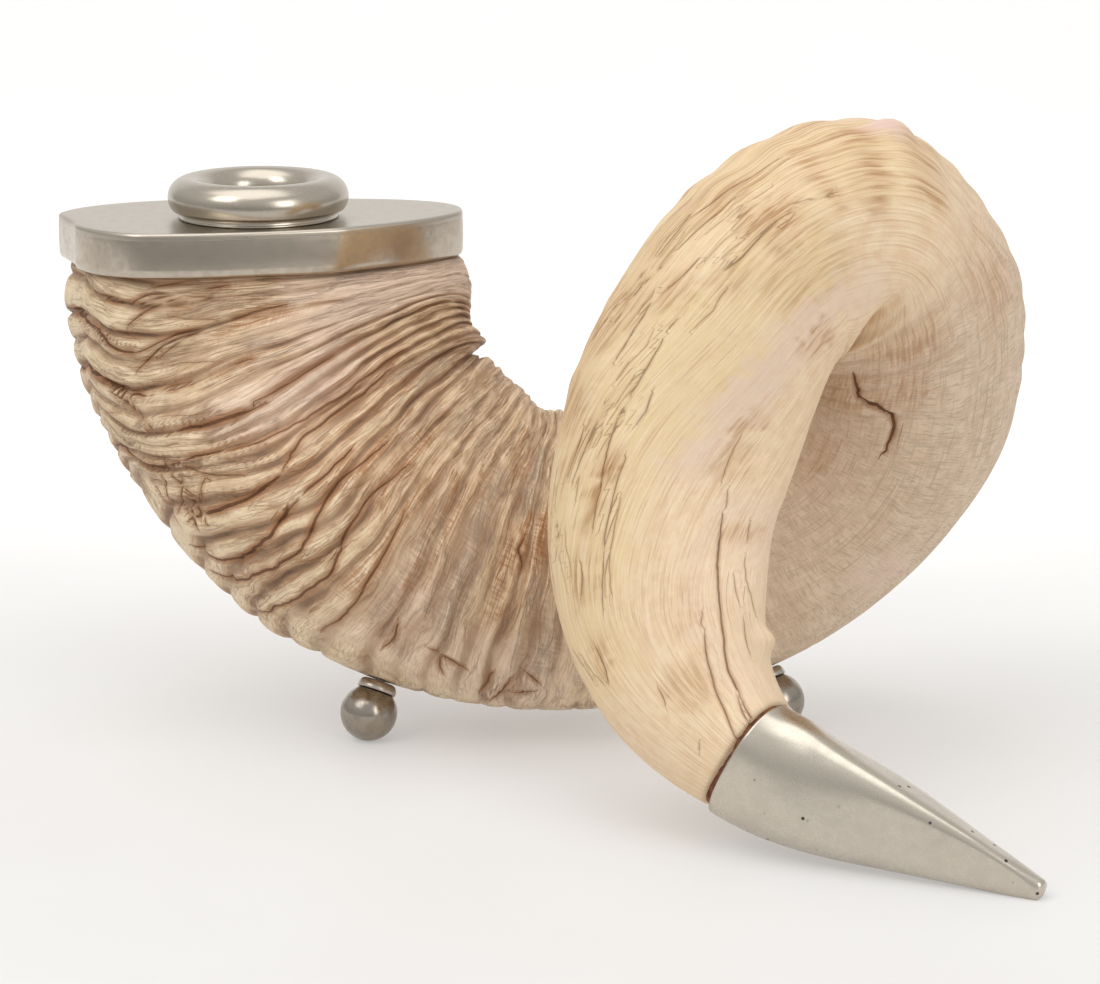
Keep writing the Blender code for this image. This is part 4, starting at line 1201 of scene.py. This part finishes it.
def build_ferrule():
    t = np.concatenate([np.linspace(RIM, RIM + 6.0, 12),
                        np.linspace(RIM + 7.0, LENGTH - 1.0, 110)])
    out, side = ferrule_half(t)
    share = (t - RIM) / (LENGTH - RIM)
    corner = FERRULE_ROUND - 0.02 * share
    rings = ring_points(t, out, side, corner, 144)
    rings = rings + ferrule_ridge(rings, t)
    t_in = np.linspace(RIM + HORN_IN_FERRULE + 1.0, RIM + 0.3, 12)
    out_in, side_in = ferrule_half(t_in)
    inner = ring_points(t_in, out_in - FERRULE_WALL, side_in - FERRULE_WALL, FERRULE_ROUND, 144)
    edge = ring_points([RIM - 0.12, RIM - 0.12], np.array([out[0] - 0.7, out[0] - 0.3]),
                    np.array([side[0] - 0.7, side[0] - 0.3]), FERRULE_ROUND, 144)
    end = ring_points([LENGTH - 0.3, LENGTH], np.array([2.35, 1.3]), np.array([2.35, 1.3]), 0.05,
                      144)
    rings = np.concatenate([inner, edge, rings, end])
    rings[..., 2] = np.maximum(rings[..., 2], 0.03)
    place(grid_mesh("tip_ferrule", rings, 0, FERRULE_METAL), "tip_cap", "nickel_satin")


def build_bedding():
    """Crumbly brown bedding that has oozed out between the horn and the ferrule."""
    count = 180
    angle = np.linspace(0.0, 1.0, count, endpoint=False)
    proud = 0.75 + 0.8 * cloud(np.zeros(count), angle, 5.0, 9, 201) + 0.4 * cloud(
        np.zeros(count), angle, 5.0, 40, 203, 2)
    degrees = half_turn(angle * 360.0)
    for at, wide, more in ((-160.0, 22.0, 2.6), (-18.0, 22.0, 2.4)):
        proud = proud + more * hill(half_turn(degrees - at), wide)
    proud = np.clip(proud, 0.15, 3.6)
    rings = []
    for depth, inset, lump in ((BEDDING_DEPTH, 1.3, 0.0), (0.4, 1.35, 0.0), (-0.35, 1.35, 0.4),
                               (-0.75, 1.6, 0.8),
                               (-0.9, 1.95, 1.0), (-0.75, 2.6, 0.9), (0.0, 3.1, 0.2),
                               (BEDDING_DEPTH, 1.9, 0.0)):
        t = RIM + depth
        base_out, base_side = ferrule_half(t)
        ring = ring_points(t, base_out - inset, base_side - inset, FERRULE_ROUND, count)[0]
        ahead = frames_at(np.array([t]))[3][0]
        rings.append(ring - ahead * (proud * lump)[:, None])
    place(grid_mesh("tip_bedding", rings, 0, BEDDING, closed=True), "tip_adhesive",
          "bedding_brown")


BALL_RADIUS = 8.0
BALL_FLAT = 2.0          # radius of the flat that the ball stands on


def build_feet():
    for label in ("front", "rear"):
        low, high = (np.array(c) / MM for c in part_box("foot_ball_" + label))
        centre = np.array([(low[0] + high[0]) / 2.0, (low[1] + high[1]) / 2.0,
                           high[2] - BALL_RADIUS])
        pad_low, pad_high = (np.array(c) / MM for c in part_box("foot_pad_" + label))
        up = (pad_low + pad_high) / 2.0 - centre
        bottom = -math.degrees(math.acos(BALL_FLAT / BALL_RADIUS))
        floor = -centre[2] + 0.01
        profile = [(0.0, BALL_RADIUS)] + arc((0.0, 0.0), BALL_RADIUS, 88.0, bottom, 44)
        profile += [(1.7, floor), (0.0, floor)]
        lathe("ball_" + label, profile, centre, (0, 0, 1), DARK, "foot_ball_" + label,
              "nickel_dark", 80)
        collar = [(0.9, 8.1), (3.2, 7.55), (4.7, 6.7), (5.2, 6.35), (5.5, 6.45), (5.6, 6.8),
                  (5.5, 7.6), (5.2, 8.4), (4.8, 8.9), (4.2, 9.2), (0.9, 9.5)]
        lathe("saucer_" + label, collar, centre, up, PAD, "foot_pad_" + label, "nickel_satin",
              72, True)


build_horn()
build_cap()
build_candle_holder()
build_ferrule()
build_bedding()
build_feet()
for node, mat in (("mouth_plug", PLUG), ("foot_stud_front", STEEL), ("foot_stud_rear", STEEL)):
    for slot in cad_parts[node].material_slots:
        slot.material = mat


# ----------------------------------------------------------------------------------- stage
def build_floor():
    """A pale table that ends in front of the object and rises far behind it."""
    front, back, rise, half = -0.42, 1.3, 1.6, 1.8
    profile = [(y, 0.0) for y in np.linspace(front, back, 24)]
    bend = 0.5
    profile += [(back + bend * math.sin(a), bend - bend * math.cos(a))
                for a in np.linspace(0.1, math.pi / 2, 14)]
    profile.append((back + bend, rise))
    verts = [(x, y, z) for y, z in profile for x in (-half, half)]
    faces = [(2 * k, 2 * k + 1, 2 * k + 3, 2 * k + 2) for k in range(len(profile) - 1)]
    data = bpy.data.meshes.new("floor")
    data.from_pydata(verts, [], faces)
    for face in data.polygons:
        face.use_smooth = True
    w = Material("floor_paper", 0.6, 0.0, 0.2)
    here = w.here()
    w.colour(w.mix(w.ramp(w.noise(here, 0.01), 0.3, 0.7), tone(186, 184, 182),
                   tone(189, 188, 186)))
    # painted light: the floor glows, more further back, which lifts the shadows that fall on it
    glow = w.ramp(w.split(here)[1], 40.0, 420.0, 0.32, 0.55)
    w.put(w.shader.inputs["Emission Color"], (1.0, 1.0, 1.0, 1.0))
    w.put(w.shader.inputs["Emission Strength"], glow)
    data.materials.append(w.mat)
    floor = bpy.data.objects.new("floor", data)
    bpy.context.scene.collection.objects.link(floor)


def softbox(name, at, aim, size, power):
    data = bpy.data.lights.new(name, "AREA")
    data.shape = "RECTANGLE"
    data.size, data.size_y = size
    data.energy = power
    obj = bpy.data.objects.new(name, data)
    obj.location = at
    obj.rotation_euler = (Vector(aim) - Vector(at)).to_track_quat("-Z", "Y").to_euler()
    bpy.context.scene.collection.objects.link(obj)


def build_studio():
    world = bpy.data.worlds.new("studio")
    bpy.context.scene.world = world
    world.use_nodes = True
    nodes = Nodes(world.node_tree)
    height = nodes.split(nodes.node("ShaderNodeTexCoord").outputs["Generated"])[2]
    background = nodes.tree.nodes["Background"]
    nodes.put(background.inputs["Color"], (1.0, 0.99, 0.975, 1.0))
    nodes.put(background.inputs["Strength"], nodes.ramp(height, -0.35, 0.5, 0.3, 0.7))
    softbox("soft_top", (-0.15, -0.1, 1.35), (0.0, 0.0, 0.1), (1.4, 1.1), 6.2)
    softbox("soft_left", (-0.9, -0.7, 1.2), (0.0, 0.0, 0.12), (0.7, 0.7), 4.8)
    softbox("soft_right", (0.85, -1.05, 0.6), (0.05, 0.0, 0.1), (0.6, 0.8), 4.4)


LENS = 111.27                                # mm, on a 36 mm wide sensor
CAMERA_AT = (0.00455, -0.88643, 0.2931)      # metres
CAMERA_TILT = 76.4                           # degrees up from looking straight down


def build_camera():
    data = bpy.data.cameras.new("photo_view")
    data.sensor_fit = "HORIZONTAL"
    data.sensor_width = 36.0
    data.lens = LENS
    data.clip_start = 0.05
    data.clip_end = 20.0
    camera = bpy.data.objects.new("photo_view", data)
    camera.location = CAMERA_AT
    camera.rotation_euler = (math.radians(CAMERA_TILT), 0.0, 0.0)
    bpy.context.scene.collection.objects.link(camera)
    bpy.context.scene.camera = camera


build_floor()
build_studio()
build_camera()
bpy.context.scene.view_settings.view_transform = "Standard"
